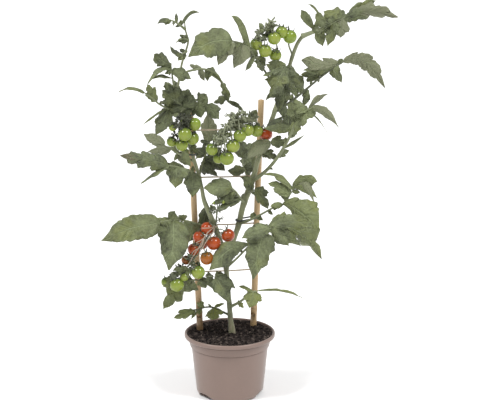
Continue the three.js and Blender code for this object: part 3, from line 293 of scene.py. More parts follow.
        (1, 163.4, 308.5, -18, 20, 12, 0.04, 0.2, 0.5), (0.4, 206, 274, -26, 7, 8, 0.06, 0.2),
        (0.48, 208, 272, -26, 9, 25, 0.1, 0.2), (0.76, 183.6, 291.5, -6, 19, 15, 0.05, 0.25, 0.6),
        (0.66, 206, 288, -12, 13, 15, 0.05, 0.2), (0.6, 206, 283, -24, 8, 20, 0.05, 0.3),
    ]),
    ("leaf_lowest", [
        (229.5, 315, 3), (223, 312, 9), (214, 308, 12), (206, 307, 12), (199, 309, 8), (193, 310, 4),
    ], [
        (1, 174, 318, -6, 11, 15, 0.05, 0.3), (0.92, 183, 319, 2, 5, 25, 0.05, 0.1),
        (0.8, 191, 319, 0, 5, 50, 0.05, 0.1), (0.72, 201, 301, 2, 7, 25, 0.05, 0.2),
        (0.42, 213.5, 320, -4, 20, 10, 0.1, 0.2, 0.6), (0.38, 224.5, 303.5, 2, 5, 45, 0.05, 0.1),
    ]),
    ("leaf_inner_left", [
        (213, 223, -1), (208, 212, 10), (207, 208, 14),
    ], [
        (1, 200, 232, 12, 15, 10, 0.05, 0.15),
    ]),
    ("leaf_inner_right", [
        (248, 193, 28), (252, 191, 12), (256, 190, 4),
    ], [
        (1, 268, 209, -4, 14, 15, 0.05, 0.3), (0.85, 269, 193, -2, 11, 20, 0.05, 0.3),
        (0.5, 244, 176, 4, 12, 10, 0.05, 0.15),
    ]),
    ("leaf_tip_low", [
        (186.5, 51, 0), (182, 54, -10),
    ], [
        (1, 170, 46, -24, 7, 35, -0.25, 0.1), (1, 178, 61, -14, 6, 20, 0.05, 0.2),
    ]),
    ("leaf_tip_mid", [
        (188, 40, 0), (183, 38, -8),
    ], [
        (1, 176, 43, -16, 4, 55, 0.25, 0.1), (0.4, 178, 42, -10, 6, 15, 0.05, 0.2),
    ]),
    ("leaf_tip_high", [
        (185.5, 29, 0), (177, 23, -8), (170, 20, -14),
    ], [
        (1, 157, 24, -26, 7, 35, 0.3, 0.1), (0.5, 176, 13, -4, 4, 30, 0.05, 0.1),
        (0.25, 200, 13, 10, 4, 40, 0.35, 0),
    ]),
    ("leaf_rear_left", [
        (183, 128, 3), (182, 122, 40), (184, 114, 72), (187, 106, 92),
    ], [
        (1, 197, 100, 128, 17, 12, 0.12, 0.25), (0.85, 178, 100, 112, 16, 12, 0.12, 0.25),
        (0.8, 190, 122, 104, 16, 12, 0.1, 0.25), (0.55, 172, 108, 84, 15, 20, 0.1, 0.25),
    ]),
    ("leaf_rear_right", [
        (280, 93, 24), (284, 86, 58), (286, 78, 90), (288, 73, 108),
    ], [
        (1, 296, 72, 144, 17, 12, 0.12, 0.25), (0.85, 280, 66, 130, 15, 12, 0.12, 0.25),
        (0.8, 284, 88, 124, 16, 12, 0.1, 0.25), (0.55, 297, 76, 96, 14, 20, 0.1, 0.25),
    ]),
    ("leaf_rear_low", [
        (254, 177, 30), (251.5, 180, 60), (254, 170, 96), (251, 158, 118),
    ], [
        (1, 238, 142, 148, 18, 12, 0.12, 0.25), (0.85, 256, 146, 132, 15, 12, 0.12, 0.25),
        (0.8, 240, 160, 126, 16, 12, 0.1, 0.25), (0.55, 257, 152, 98, 5, 20, 0.1, 0.25),
    ]),
    ("leaf_top_right+fill", [
        (318, 34, -4), (332, 24, -20), (346, 16, -36),
    ], [
        (1, 363, 11, -52, 10, 10, 0.05, 0.3), (0.9, 357, 20.5, -44, 9, 10, 0.05, 0.4),
        (0.8, 343, 9.5, -30, 9, 20, 0.05, 0.3), (0.6, 338, 34, -26, 9, 15, 0.05, 0.4),
        (0.5, 332, 15, -20, 10, 10, 0.05, 0.4), (0.4, 318, 22, -12, 9, 10, 0.05, 0.4),
        (0.3, 333, 38, -18, 7, 10, 0, 0.3), (1, 368, 18, -50, 8, 20, 0.1, 0.3),
    ]),
    ("leaf_upper_core+dark", [
        (288, 68, -10), (286, 80, -12), (282, 92, -12),
    ], [
        (0.3, 266, 64, -14, 10, 10, 0.05, 0.3), (0.5, 264.5, 80, -14, 10, 10, 0.05, 0.35),
        (1, 278.5, 110.5, -10, 13, 10, 0, 0.1), (0.8, 270, 98, -16, 12, 10, 0.05, 0.3),
        (0.5, 268, 82, -16, 13, 15, 0.05, 0.3), (0.6, 293, 90, -14, 10, 10, 0.05, 0.3),
        (0.3, 274, 70, -14, 12, 10, 0.05, 0.3), (0.2, 296, 76, -14, 11, 15, 0.05, 0.3),
        (0.4, 300, 84, -10, 9, 10, 0.1, 0.3),
    ]),
    ("leaf_shade+bar", [
        (297, 122, -12), (296, 126, -14), (295, 128, -16),
    ], [
        (1, 263.5, 128.5, -18, 10, 10, 0.02, 0.15), (0.9, 289, 139, -14, 9, 10, 0.05, 0.2),
    ]),
    ("leaf_left_core+dark", [
        (186, 112, -2), (180, 104, -10), (171, 98, -14),
    ], [
        (0.2, 193, 95, -12, 12, 10, 0.05, 0.3), (0.5, 176, 87, -16, 13, 10, 0.05, 0.3),
        (0.8, 162.5, 90, -14, 11, 15, 0.05, 0.3), (0.9, 161, 104, -14, 10, 10, 0.1, 0.3),
        (0.4, 170, 111, -16, 11, 20, 0.05, 0.3), (0.3, 198, 103, -12, 10, 10, 0.05, 0.3),
        (0.1, 190, 116, -16, 9, 10, 0.05, 0.3), (0.6, 186, 90, -14, 10, 30, 0.05, 0.3),
        (0.1, 181, 121, -12, 9, 20, 0.05, 0.3), (0.7, 168, 84, -14, 7, 10, 0.1, 0.2),
    ]),
    ("leaf_left_back+beige", [
        (181, 146, -8), (182, 149, -12), (183, 151, -14),
    ], [
        (1, 190.5, 166.5, -14, 8, 10, 0, 0.1), (0.7, 189, 156, -8, 8, 10, 0.05, 0.2),
    ]),
    # Near-black leaflets by the left cane: painted shade, standing for the deep shade among the leaves there.
    ("leaf_left_back+black", [
        (186, 139, 4), (189, 144, 2), (191, 147, 2),
    ], [
        (1, 197.5, 153, 2, 9, 10, 0.05, 0.3), (0.5, 196, 146, 4, 7, 10, 0.05, 0.3),
        (0.2, 182, 120, -8, 8, 10, 0.1, 0.3), (0.3, 189, 116, -4, 7, 10, 0.1, 0.3),
        (0.1, 178, 128, -6, 8, 10, 0.1, 0.3),
    ]),
    ("leaf_low_front+hang", [
        (205, 276, -24), (210.5, 276, -27), (216, 277.5, -27),
    ], [
        (1, 229.5, 303.5, -34, 20, 10, 0.12, 0.16, 0.4), (0.95, 223, 273, -26, 9, 20, 0, 0.2),
        (0.9, 235.5, 288.5, -34, 13, 15, 0.16, 0.1),
    ]),
    ("leaf_low_front+curls", [
        (198, 262, -24), (191, 267, -30), (183, 272, -32), (175, 278, -28),
    ], [
        (0.1, 200, 267.5, -32, 5, 10, 0.3, 0.1), (0.25, 196, 272, -36, 5, 30, 0.4, 0.1),
        (0.35, 191, 275.5, -36, 5, -20, 0.3, 0.1), (0.5, 187.5, 278, -38, 5, 10, 0.3, 0.1),
        (0.3, 194.5, 263, -22, 5, 40, 0.3, 0.1), (0.55, 180, 267.5, -30, 5, 20, 0.3, 0.1),
        (0.7, 179, 275.5, -38, 6, 10, 0.3, 0.1), (0.85, 170, 275.5, -26, 5, 10, 0.3, 0.1),
        (0.95, 168, 280, -26, 6, 30, 0.2, 0.1), (0.45, 184, 270, -38, 5, 50, 0.4, 0.1),
        (0.65, 173, 271, -34, 5, 10, 0.4, 0.1), (0.15, 188, 262.5, -20, 4, 10, 0.3, 0.1),
    ]),
    ("leaf_low_front+pale", [
        (178, 276, -24), (174, 279, -26), (171, 281, -26),
    ], [
        (1, 163.5, 286.5, -26, 9, 10, 0.05, 0.2), (0.6, 166, 279, -26, 6, 20, 0.1, 0.2),
        (0.5, 183, 291, -24, 9, 10, 0.1, 0.1),
    ]),
    ("leaf_center_back+cover", [
        (226, 130, -2), (224.5, 140, -14), (224.6, 151, -20),
    ], [
        (0, 241, 111.8, 8, 6, 20, 0.1, 0.1), (0, 255.5, 121.6, -8, 7, 10, 0.16, 0.15),
        (0, 247, 126, -16, 7, -10, 0.12, 0.2), (0, 217.2, 133.5, -4, 7, 10, 0.05, 0.2),
        (0.2, 213.6, 141.5, -6, 8, 20, 0.12, 0.1), (0.1, 235, 120, -6, 8, 40, 0.15, 0.2),
        (0.3, 233, 135, -22, 6, 10, 0.1, 0.2), (0.5, 216, 146, -12, 5, 10, 0.05, 0.1),
    ]),
    ("leaf_center_back+olive", [
        (250, 127, 16), (250, 123, 18), (250, 121, 20),
    ], [
        (0.8, 256.6, 109.8, 26, 9, 10, 0.1, 0.1), (0.5, 249.6, 134, 16, 9, 10, 0.05, 0.1),
    ]),
    ("leaf_upper_core+cover", [
        (268, 37, 0), (266, 31, -8), (262, 27, -12),
    ], [
        (0.1, 277, 24.5, -8, 6, 20, 0.2, 0.2), (0.4, 272, 21.5, -8, 5, 30, 0.3, 0.1),
        (0.6, 259.5, 30, -14, 7, 10, 0.1, 0.2), (0.3, 262.5, 38, -12, 7, 20, 0.1, 0.2),
        (0.9, 259, 23.5, -12, 5, 30, 0.2, 0.1), (0.2, 270, 30, -16, 7, 50, 0.1, 0.2),
    ]),
]

# A truss is its name, its stalk's marks and its fruits. A fruit is its place along the stalk, its middle's
# mark, its diameter and its colour: g for green, r for red, o for orange.
TRUSS_MARKS = [
    ("truss_upper", [
        (293, 56, 14), (288.5, 45, 16), (287, 33, 12), (280, 26, 6), (269, 27, 0), (261, 33, -4),
        (257, 37, -6),
    ], [
        (0.22, 290, 37, 2, 13, "g"), (0.42, 281.5, 32.5, -2, 11.5, "g"), (0.62, 274, 38.5, -9, 12.5, "g"),
        (0.8, 265, 51, -12, 12.5, "g"), (1, 256, 44.5, -8, 12, "g"), (0.5, 275.5, 55, 2, 11.5, "g"),
    ]),
    ("truss_left", [
        (186.5, 140, 4), (188, 129, -10), (184, 121, -16), (180, 126, -20), (178, 135, -20),
    ], [
        (0.2, 195, 124, -16, 12.5, "g"), (0.8, 184.5, 134.5, -28, 13, "g"), (1, 182, 145, -22, 12, "g"),
        (0.25, 192, 138, -10, 13, "g"), (0.95, 171.5, 142, -16, 10, "g"), (0.7, 173, 127, -18, 8, "g"),
        (0.45, 184, 121, -14, 8, "g"),
    ]),
    ("truss_center", [
        (264, 141, 30), (258, 124, 14), (248, 119, 4), (237, 120, -6), (227, 125, -14), (223, 138, -16),
        (221, 149, -14),
    ], [
        (0.3, 247.5, 130, -8, 12.5, "g"), (0.14, 257, 131, 8, 12.5, "g"),
        (0.48, 240, 135.5, -16, 12.5, "g"), (0.62, 233, 146, -18, 13, "g"),
        (0.85, 227, 158, -20, 13.5, "g"), (1, 218, 158.5, -12, 9.5, "g"), (0.88, 212, 149, -18, 12, "g"),
        (0.7, 218, 139, -4, 10, "g"), (0.08, 266, 134, 12, 12.5, "r"),
    ]),
    ("truss_low", [
        (216, 230, -2), (209, 235, -14), (202.5, 245, -22), (196.5, 256, -26), (188, 266, -26),
        (178, 272, -24), (170, 276, -20),
    ], [
        (0.06, 207, 228.5, -14, 12.5, "r"), (0.16, 199, 237, -20, 12, "r"), (0.3, 194, 249.5, -22, 12, "r"),
        (0.2, 213.5, 243, -24, 13.5, "r"), (0.04, 228, 235, -16, 13, "r"), (0.36, 207, 258.5, -32, 13, "o"),
        (0.62, 186, 260, -14, 9, "o"), (0.26, 203, 244, -8, 10, "r"), (0.66, 198, 272, -34, 13, "g"),
        (0.95, 177, 285, -32, 13.5, "g"), (1, 166, 282, -18, 9.5, "g"), (0.82, 184, 277, -32, 8.5, "g"),
    ]),
    ("truss_young", [
        (215.5, 228, -1), (216.5, 217, -8), (217, 210, -10), (220, 205, -12),
    ], [
        (1, 223, 202, -16, 3.2, "g"), (0.8, 214, 203, -14, 3.2, "g"), (0.65, 211, 207, -8, 2.8, "g"),
    ]),
]


def placed(rows):
    """Leaflets or fruits with their mark as a place and their size in millimetres."""
    return [(row[0], *spot(*row[1:4]), across_view(row[4]), *row[5:]) for row in rows]


SHOOTS = {name: [(*spot(*mark), radius) for *mark, radius in rows] for name, rows in SHOOT_MARKS.items()}
SHOOTS["main"] = STEM_FOOT + SHOOTS["main"]
LEAVES = [(name, [spot(*mark) for mark in stalk], placed(rows)) for name, stalk, rows in LEAF_MARKS]
TRUSSES = [(name, [spot(*mark) for mark in stalk], placed(rows)) for name, stalk, rows in TRUSS_MARKS]

# Leaves that differ from the common green: shade makes one lighter or darker, yellow warms it. Some entries
# are painted light and shade: leaves deep in the plant are darkened for the shade that falls there, and the
# lowest leaf is lightened although it lies in shade.
LEAF_TONES_AND_PAINTED_LIGHT = {
    "leaf_left_high": (0.25, 0.45),
    "leaf_upper_left": (0.18, 0.25),
    "leaf_top_right": (0.2, 0.35),
    "leaf_right_high": (0.05, 0.1),
    "leaf_upper_core": (-0.2, 0.0),
    "leaf_left_core": (-0.15, 0.1),
    # painted shade: this leaf lies deep behind the others
    "leaf_center_back": (-0.45, -0.1),
    "leaf_right_back": (-0.3, 0.0),
    "leaf_left_back": (0.15, 0.2),
    # painted shade: a leaf in the shade of the leaves over it
    "leaf_shade": (-0.4, -0.1),
    "leaf_arch": (-0.1, 0.1),
    "leaf_low_right": (0.6, 0.75),
    # painted light: this low leaf lies in the plant's shade and is lightened
    "leaf_lowest": (0.95, 0.75),
    "leaf_low_front": (0.0, 0.1),
    "leaf_right_low": (0.05, 0.05),
    "leaf_right_fold": (0.45, 0.35),
    "leaf_right_mid": (0.15, 0.2),
    "leaf_left_low": (0.12, 0.08),
    "leaf_inner_left": (-0.25, 0.0),
    "leaf_center_back+cover": (0.1, 0.05),
    "leaf_center_back+olive": (-0.1, 0.6),
    "leaf_upper_core+cover": (0.1, 0.05),
    "leaf_left_core+dark": (-0.4, 0.0),
    "leaf_left_back+beige": (0.4, 0.35),
    # painted shade: near-black leaflets by the left cane stand for the deep shade there
    "leaf_left_back+black": (-1.0, 0.0),
    "leaf_upper_core+dark": (-0.45, 0.0),
    "leaf_shade+bar": (0.1, 0.1),
    "leaf_low_front+hang": (0.15, 0.0),
    "leaf_low_front+curls": (0.2, 0.1),
    "leaf_low_front+pale": (0.45, 0.5),
}

# Leaflets, by leaf and place on it, that differ from the rest of their leaf in the same way. Two low leaflets
# that lie in the plant's shade are lightened with painted light.
LEAFLET_TONES_AND_PAINTED_LIGHT = {
    ("leaf_left_high", 2): (-0.6, -0.4),
    ("leaf_right_high", 1): (0.1, 0.0),
    ("leaf_right_high", 5): (-0.5, 0.1),
    ("leaf_right_high", 6): (-0.6, 0.1),
    ("leaf_right_low", 0): (0.35, 0.35),
    ("leaf_right_low", 1): (-0.05, 0.0),
    ("leaf_right_fold", 3): (0.1, 0.1),
    ("leaf_left_top", 0): (-0.45, 0.2),
    # painted light: this leaflet lies in the plant's shade
    ("leaf_low_front", 0): (0.35, 0.3),
    # painted light: this leaflet lies in the plant's shade
    ("leaf_lowest", 4): (0.35, 0.95),
}

# Leaflets, by leaf and place on it, whose tips are dry and brown.
BROWN_TIPS = {
    ("leaf_left_mid", 0): 0.85,
    ("leaf_left_high", 0): 0.4,
    ("leaf_left_low", 0): 0.12,
    ("leaf_top_right", 0): 0.25,
}

# Leaf stalks whose shade or thickness isn't the common one: shade, factor.
STALK_LOOKS = {
    "leaf_right_high": (-0.85, 1.2),
    "leaf_right_mid": (0.1, 1.6),
    "leaf_low_front": (-0.4, 1.0),
    "leaf_lowest": (-0.6, 1.0),
    "leaf_upper_left": (-0.5, 1.0),
    "leaf_center_low": (0.2, 1.2),
    "leaf_low_right": (0.1, 1.3),
    "leaf_top_right": (0.3, 1.8),
}

# Leaflets, by leaf and place on it, whose notches are deeper than the rest by this factor.
DEEP_CUTS = {
    ("leaf_right_low", 0): 1.9,
    ("leaf_right_low", 1): 1.5,
    ("leaf_upper_core", 0): 1.5,
    ("leaf_right_fold", 3): 1.4,
    ("leaf_top_right", 0): 1.6,
    ("leaf_right_high", 0): 0.7,
    ("leaf_upper_left", 1): 1.4,
}

# Leaflets, counted from 0 on their leaf, that hang so that their pale underside faces the front.
UNDERSIDES = {
    "leaf_upper_left": (1, 2),
    "leaf_right_high": (0, 1, 3),
    "leaf_top_right": (0, 5),
    "leaf_left_back": (0, 1),
    "leaf_right_mid": (0, 1),
    "leaf_arch": (2, 3),
    "leaf_center_front": (0,),
    "leaf_right_fold": (0,),
    "leaf_center_back": (0,),
    "leaf_center_back+cover": (1, 2, 4),
    "leaf_upper_core+cover": (0, 1),
}


# ---------------------------------------------------------------- settings

def length(label, description, default, low=0.0001, high=1.0):
    """A length that is shown in the scene's units."""
    return FloatProperty(name=label, description=description, default=default, min=low, max=high,
                         unit="LENGTH")


def colour(label, description, default):
    """A surface's colour, in linear light."""
    return FloatVectorProperty(name=label, description=description, default=default, size=3, subtype="COLOR",
                               min=0.0, max=1.0)


def share(label, description, default, high=1.0):
    """A plain number from 0 up."""
    return FloatProperty(name=label, description=description, default=default, min=0.0, max=high)


class PotSettings(bpy.types.PropertyGroup):
    """The pot and the peat in it."""

    rim_radius: length("Rim radius", "Outer radius of the lip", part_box("pot")[1].x)
    height: length("Height", "Height of the pot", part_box("pot")[1].z)
    base_radius: length("Base radius", "Outer radius at the foot", BASE_RADIUS)
    wall: length("Wall", "Thickness of the plastic", 1.4 * MM)
    lip_width: length("Lip width", "Width of the lip seen from above", 3.4 * MM)
    lip_height: length("Lip height", "Height of the lip's outer band", 6 * MM)
    crumb_count: IntProperty(name="Crumbs", description="Loose crumbs on the peat", default=1500, min=0,
                             max=4000)
    plastic: colour("Plastic", "Colour of the pot", (0.196, 0.136, 0.112))
    peat: colour("Peat", "Colour of the peat", (0.021, 0.015, 0.0128))


class LadderSettings(bpy.types.PropertyGroup):
    """The bamboo canes, the rungs and the ties."""

    cane_radius: length("Cane radius", "Radius of a cane between its knots", 4.8 * MM)
    knot_pitch: length("Knot pitch", "Distance from knot to knot", 130 * MM)
    rung_radius: length("Rung radius", "Radius of a rung", 1.15 * MM)
    bamboo: colour("Bamboo", "Colour of the canes", (0.45, 0.305, 0.148))
    rubber: colour("Rubber", "Colour of the ties", (0.035, 0.045, 0.04))


class LeafSettings(bpy.types.PropertyGroup):
    """The leaves."""

    thickness: length("Thickness", "Thickness of a blade", 0.36 * MM)
    pucker: share("Pucker", "Rise of the blade between its veins, as a part of its width", 0.035)
    wave: share("Wave", "Wave of the edge, as a part of the half width", 0.16)
    teeth: share("Teeth", "Depth of the small teeth, as a part of the half width", 0.1)
    cut: share("Cut", "Depth of the notches, as a multiple of each leaflet's own", 1.7)
    small_leaflets: IntProperty(name="Small leaflets", description="Small leaflets on each leaf's stalk",
                                default=4, min=0, max=12)
    upper: colour("Upper side", "Colour of a leaf from above", (0.104, 0.121, 0.057))
    under: colour("Underside", "Colour of a leaf from below", (0.172, 0.182, 0.102))
    vein: colour("Veins", "Colour of the veins", (0.20, 0.235, 0.115))


class StemSettings(bpy.types.PropertyGroup):
    """The stem, the leaf stalks and their hairs."""

    skin: colour("Skin", "Colour of the stem", (0.245, 0.262, 0.145))
    hair: colour("Hair", "Colour of the fine hairs", (0.55, 0.58, 0.45))
    hair_length: length("Hair length", "Length of the hairs", 1.3 * MM)


class FruitSettings(bpy.types.PropertyGroup):
    """The fruits and their calyces."""

    green: colour("Green", "Colour of an unripe fruit", (0.19, 0.26, 0.03))
    red: colour("Red", "Colour of a ripe fruit", (0.37, 0.048, 0.008))
    orange: colour("Orange", "Colour of a fruit that is turning", (0.31, 0.085, 0.008))
    calyx: colour("Calyx", "Colour of the sepals", (0.118, 0.134, 0.08))
    sepal_length: length("Sepal length", "Length of a sepal along its curl", 13 * MM)


class StageSettings(bpy.types.PropertyGroup):
    """The floor and the light."""

    floor: colour("Floor", "Colour of the floor", (0.94, 0.94, 0.94))
    lamp_strength: share("Lamp strength", "Strength of each of the two lamps", 1.96, 20.0)
    sky: share("Sky", "Brightness of the light from all round", 0.57, 4.0)
    backdrop: share("Backdrop", "Brightness of the backdrop as the camera sees it", 1.0, 4.0)


SETTINGS = {
    "plant_pot": PotSettings,
    "plant_ladder": LadderSettings,
    "plant_leaf": LeafSettings,
    "plant_stem": StemSettings,
    "plant_fruit": FruitSettings,
    "plant_stage": StageSettings,
}


# ---------------------------------------------------------------- curves

def spline(points, t):
    """A smooth curve through points: on each stretch a cubic whose slope at a point is half the chord between
    that point's neighbours; past the ends the last chord is repeated."""
    p = np.asarray(points, float)
    p = np.vstack([2 * p[0] - p[1], p, 2 * p[-1] - p[-2]])
    place = np.clip(np.asarray(t, float), 0, 1) * (len(p) - 3)
    i = np.minimum(place.astype(int), len(p) - 4)
    f = (place - i)[..., None]
    a, b, c, d = p[i], p[i + 1], p[i + 2], p[i + 3]
    return b + 0.5 * f * (c - a + f * (2 * a - 5 * b + 4 * c - d + f * (3 * (b - c) + d - a)))


def parabola(start, bend, end, s):
    """A quadratic Bezier curve: the start fades out as (1 - s) squared and the end comes in as s squared."""
    s = np.asarray(s)[..., None]
    return (1 - s) ** 2 * start + 2 * s * (1 - s) * bend + s ** 2 * end


def unit(v):
    """Each vector divided by its length."""
    return v / np.maximum(np.linalg.norm(v, axis=-1, keepdims=True), 1e-12)


def slopes(path):
    """The unit tangents of a path, from each point's neighbours."""
    return unit(np.gradient(path, axis=0))


def square_axes(path):
    """The path's tangent and two unit vectors square to it at each point, from the axis that it runs least
    along."""
    tangent = slopes(path)
    hint = np.eye(3)[np.argmin(np.abs(tangent).mean(axis=0))] + np.array([0.05, 0.03, 0.02])
    across = unit(hint - (tangent @ hint)[:, None] * tangent)
    return tangent, across, np.cross(tangent, across)


def smooth_step(low, high, x):
    """0 below low, 1 above high, and 3x^2 - 2x^3 of the share between."""
    x = np.clip((x - low) / (high - low), 0, 1)
    return x * x * (3 - 2 * x)


# ---------------------------------------------------------------- closed shells

class Skin:
    """Closed shells gathered as whole arrays, with a tone of four numbers and a map of two at each vertex."""

    def __init__(self):
        self.points, self.quads, self.triangles, self.tones, self.maps = [], [], [], [], []
        self.materials = [[], []]
        self.count = 0

    def add(self, points, quads, triangles, tone=(0, 0, 0, 0), uv=(0, 0), material=0):
        """Adds a shell."""
        points = np.asarray(points, float).reshape(-1, 3)
        quads = np.asarray(quads, int).reshape(-1, 4)
        triangles = np.asarray(triangles, int).reshape(-1, 3)
        self.points.append(points)
        self.quads.append(quads + self.count)
        self.triangles.append(triangles + self.count)
        self.tones.append(np.broadcast_to(np.asarray(tone, float), (len(points), 4)))
        self.maps.append(np.broadcast_to(np.asarray(uv, float), (len(points), 2)))
        self.materials[0].append(np.full(len(quads), material))
        self.materials[1].append(np.full(len(triangles), material))
        self.count += len(points)

    def make(self, name, materials):
        """The mesh object: quads first, then triangles, with smooth faces, the tone attribute and the map."""
        quads, triangles = np.concatenate(self.quads), np.concatenate(self.triangles)
        corners = np.concatenate([quads.ravel(), triangles.ravel()])
        starts = np.concatenate([4 * np.arange(len(quads)), 4 * len(quads) + 3 * np.arange(len(triangles))])
        mesh = bpy.data.meshes.new(name)
        mesh.vertices.add(self.count)
        mesh.vertices.foreach_set("co", np.concatenate(self.points).astype(np.float32).ravel())
        mesh.loops.add(len(corners))
        mesh.loops.foreach_set("vertex_index", corners.astype(np.int32))
        mesh.polygons.add(len(starts))
        mesh.polygons.foreach_set("loop_start", starts.astype(np.int32))
        mesh.polygons.foreach_set("use_smooth", np.ones(len(starts), bool))
        places = np.concatenate(self.materials[0] + self.materials[1])
        mesh.polygons.foreach_set("material_index", places.astype(np.int32))
        tone = mesh.attributes.new("tone", "FLOAT_COLOR", "POINT")
        tone.data.foreach_set("color", np.concatenate(self.tones).astype(np.float32).ravel())
        uv = mesh.uv_layers.new(name="grain")
        uv.data.foreach_set("uv", np.concatenate(self.maps)[corners].astype(np.float32).ravel())
        mesh.update(calc_edges=True)
        mesh.validate()
        for material in materials:
            mesh.materials.append(material)
        piece = bpy.data.objects.new(name, mesh)
        bpy.context.scene.collection.objects.link(piece)
        return piece


def place(piece, slot, *nodes):
    """The piece rides on the one body and stands for the nodes, whose parts are hidden; the slot is not used.
    """
    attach(piece, BODY)
    if nodes:
        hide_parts(*nodes)
    return piece


def ring_faces(rows, columns):
    """Faces of a grid that closes on itself across, with a pole before its first row and one after its
    last."""
    i, j = np.meshgrid(np.arange(rows - 1), np.arange(columns), indexing="ij")
    k = (j + 1) % columns
    quads = np.stack([i * columns + j, i * columns + k, (i + 1) * columns + k, (i + 1) * columns + j], -1)
    j, k = np.arange(columns), (np.arange(columns) + 1) % columns
    first, last, end = rows * columns, rows * columns + 1, (rows - 1) * columns
    triangles = np.concatenate([
        np.stack([k, j, np.full(columns, first)], -1),
        np.stack([end + j, end + k, np.full(columns, last)], -1),
    ])
    return quads, triangles


def add_rings(skin, grid, first, last, **looks):
    """Adds a closed shell from rings (rows, columns, 3), with its two poles."""
    rows, columns = grid.shape[:2]
    quads, triangles = ring_faces(rows, columns)
    for key, value in looks.items():
        if isinstance(value, np.ndarray) and value.ndim == 3:
            flat = value.reshape(rows * columns, -1)
            looks[key] = np.vstack([flat, flat[0], flat[-1]])
    skin.add(np.vstack([grid.reshape(-1, 3), first, last]), quads, triangles, **looks)


def add_tube(skin, path, radius, sides, ridges=0.0, **looks):
    """A round bar along a path: rings of the given radius, their outline raised by ridges times the cosine of
    five times the angle, and rounded ends."""
    tangent, across, third = square_axes(path)
    angle = 2 * np.pi * np.arange(sides) / sides
    radius = np.broadcast_to(np.asarray(radius, float), (len(path),))
    reach = radius[:, None] * (1 + ridges * np.cos(5 * angle))[None, :]
    grid = path[:, None] + reach[..., None] * (np.cos(angle)[None, :, None] * across[:, None]
                                               + np.sin(angle)[None, :, None] * third[:, None])
    first = path[0] - 0.3 * radius[0] * tangent[0]
    last = path[-1] + 0.3 * radius[-1] * tangent[-1]
    add_rings(skin, grid, first, last, **looks)


def turned(profile, columns):
    """Rings from a profile of radius and height, turned about the upright axis."""
    angle = 2 * np.pi * np.arange(columns) / columns
    r, z = profile[:, 0], profile[:, 1]
    return np.stack([
        r[:, None] * np.cos(angle), r[:, None] * np.sin(angle), np.repeat(z[:, None], columns, 1),
    ], -1)


def add_sheet(skin, top, bottom, tones, uv, material=0):
    """A thin closed blade: a top grid, a bottom grid and a strip of faces round the edge."""
    rows, columns = top.shape[:2]
    index = np.arange(rows * columns).reshape(rows, columns)
    face = np.stack([index[:-1, :-1], index[:-1, 1:], index[1:, 1:], index[1:, :-1]], -1).reshape(-1, 4)
    rim = np.concatenate([index[0, :-1], index[:-1, -1], index[-1, :0:-1], index[:0:-1, 0]])
    after = np.roll(rim, -1)
    count = rows * columns
    strip = np.stack([after, rim, rim + count, after + count], -1)
    quads = np.concatenate([face, face[:, ::-1] + count, strip])
    skin.add(np.concatenate([top.reshape(-1, 3), bottom.reshape(-1, 3)]), quads, [],
             tone=np.concatenate(tones), uv=np.tile(uv.reshape(-1, 2), (2, 1)), material=material)


def add_hairs(skin, path, radius, count, size, rng, material):
    """Fine spikes that stand out of a tube: a base of three points and one tip each, at random places."""
    tangent, across, third = square_axes(path)
    i = rng.integers(0, len(path) - 1, count)
    f = rng.random(count)[:, None]
    angle = rng.random(count)[:, None] * 2 * np.pi
    out = np.cos(angle) * across[i] + np.sin(angle) * third[i]
    side = np.cross(tangent[i], out)
    here = path[i] * (1 - f) + path[i + 1] * f
    reach = (radius[i] * (1 - f[:, 0]) + radius[i + 1] * f[:, 0])[:, None]
    root = here + out * (reach - 0.1 * MM)
    thick = 0.07 * MM
    tip = root + out * size * (0.5 + rng.random(count)[:, None])
    tip = tip + tangent[i] * size * (rng.random(count)[:, None] - 0.5)
    corners = [root + thick * (np.cos(a) * tangent[i] + np.sin(a) * side) for a in (0, 2.094, 4.189)]
    points = np.stack([*corners, tip], 1).reshape(-1, 3)
    base = 4 * np.arange(count)[:, None, None]
    triangles = (base + np.array([[0, 2, 1], [0, 1, 3], [1, 2, 3], [2, 0, 3]])).reshape(-1, 3)
    inward = np.einsum("ij,ij->i", np.cross(corners[1] - corners[0], corners[2] - corners[0]), out) < 0
    if inward.any():
        flip = np.repeat(inward, 4)
        triangles[flip] = triangles[flip][:, ::-1]
    skin.add(points, [], triangles, material=material)


# ---------------------------------------------------------------- materials

class Nodes:
    """Adds nodes to a tree: each input is a value or another node's socket."""

    def __init__(self, tree):
        self.tree = tree
        self.tree.nodes.clear()

    def add(self, kind, inputs=None, **settings):
        node = self.tree.nodes.new(kind)
        for key, value in settings.items():
            setattr(node, key, value)
        for key, value in (inputs or {}).items():
            if isinstance(value, bpy.types.NodeSocket):
                self.tree.links.new(value, node.inputs[key])
            else:
                node.inputs[key].default_value = value
        return node

    def math(self, operation, a, b=0.0, c=0.0):
        return self.add("ShaderNodeMath", {0: a, 1: b, 2: c}, operation=operation).outputs[0]

    def mix(self, factor, a, b, blend="MIX"):
        node = self.add("ShaderNodeMix", data_type="RGBA", blend_type=blend)
        for socket, value in ((node.inputs[0], factor), (node.inputs[6], a), (node.inputs[7], b)):
            if isinstance(value, bpy.types.NodeSocket):
                self.tree.links.new(value, socket)
            elif socket == node.inputs[0]:
                socket.default_value = value
            else:
                socket.default_value = (*value, 1.0)
        return node.outputs[2]

    def ramp(self, value, low, high, dark=0.0, light=1.0):
        node = self.add("ShaderNodeMapRange", {0: value, 1: low, 2: high, 3: dark, 4: light},
                        interpolation_type="SMOOTHSTEP")
        return node.outputs[0]


def group_tree(name, inputs, outputs):
    """An empty shader node group with named sockets."""
    tree = bpy.data.node_groups.new(name, "ShaderNodeTree")
    for label, kind, default in inputs:
        socket = tree.interface.new_socket(name=label, in_out="INPUT", socket_type=kind)
        socket.default_value = default
    for label, kind in outputs:
        tree.interface.new_socket(name=label, in_out="OUTPUT", socket_type=kind)
    return tree


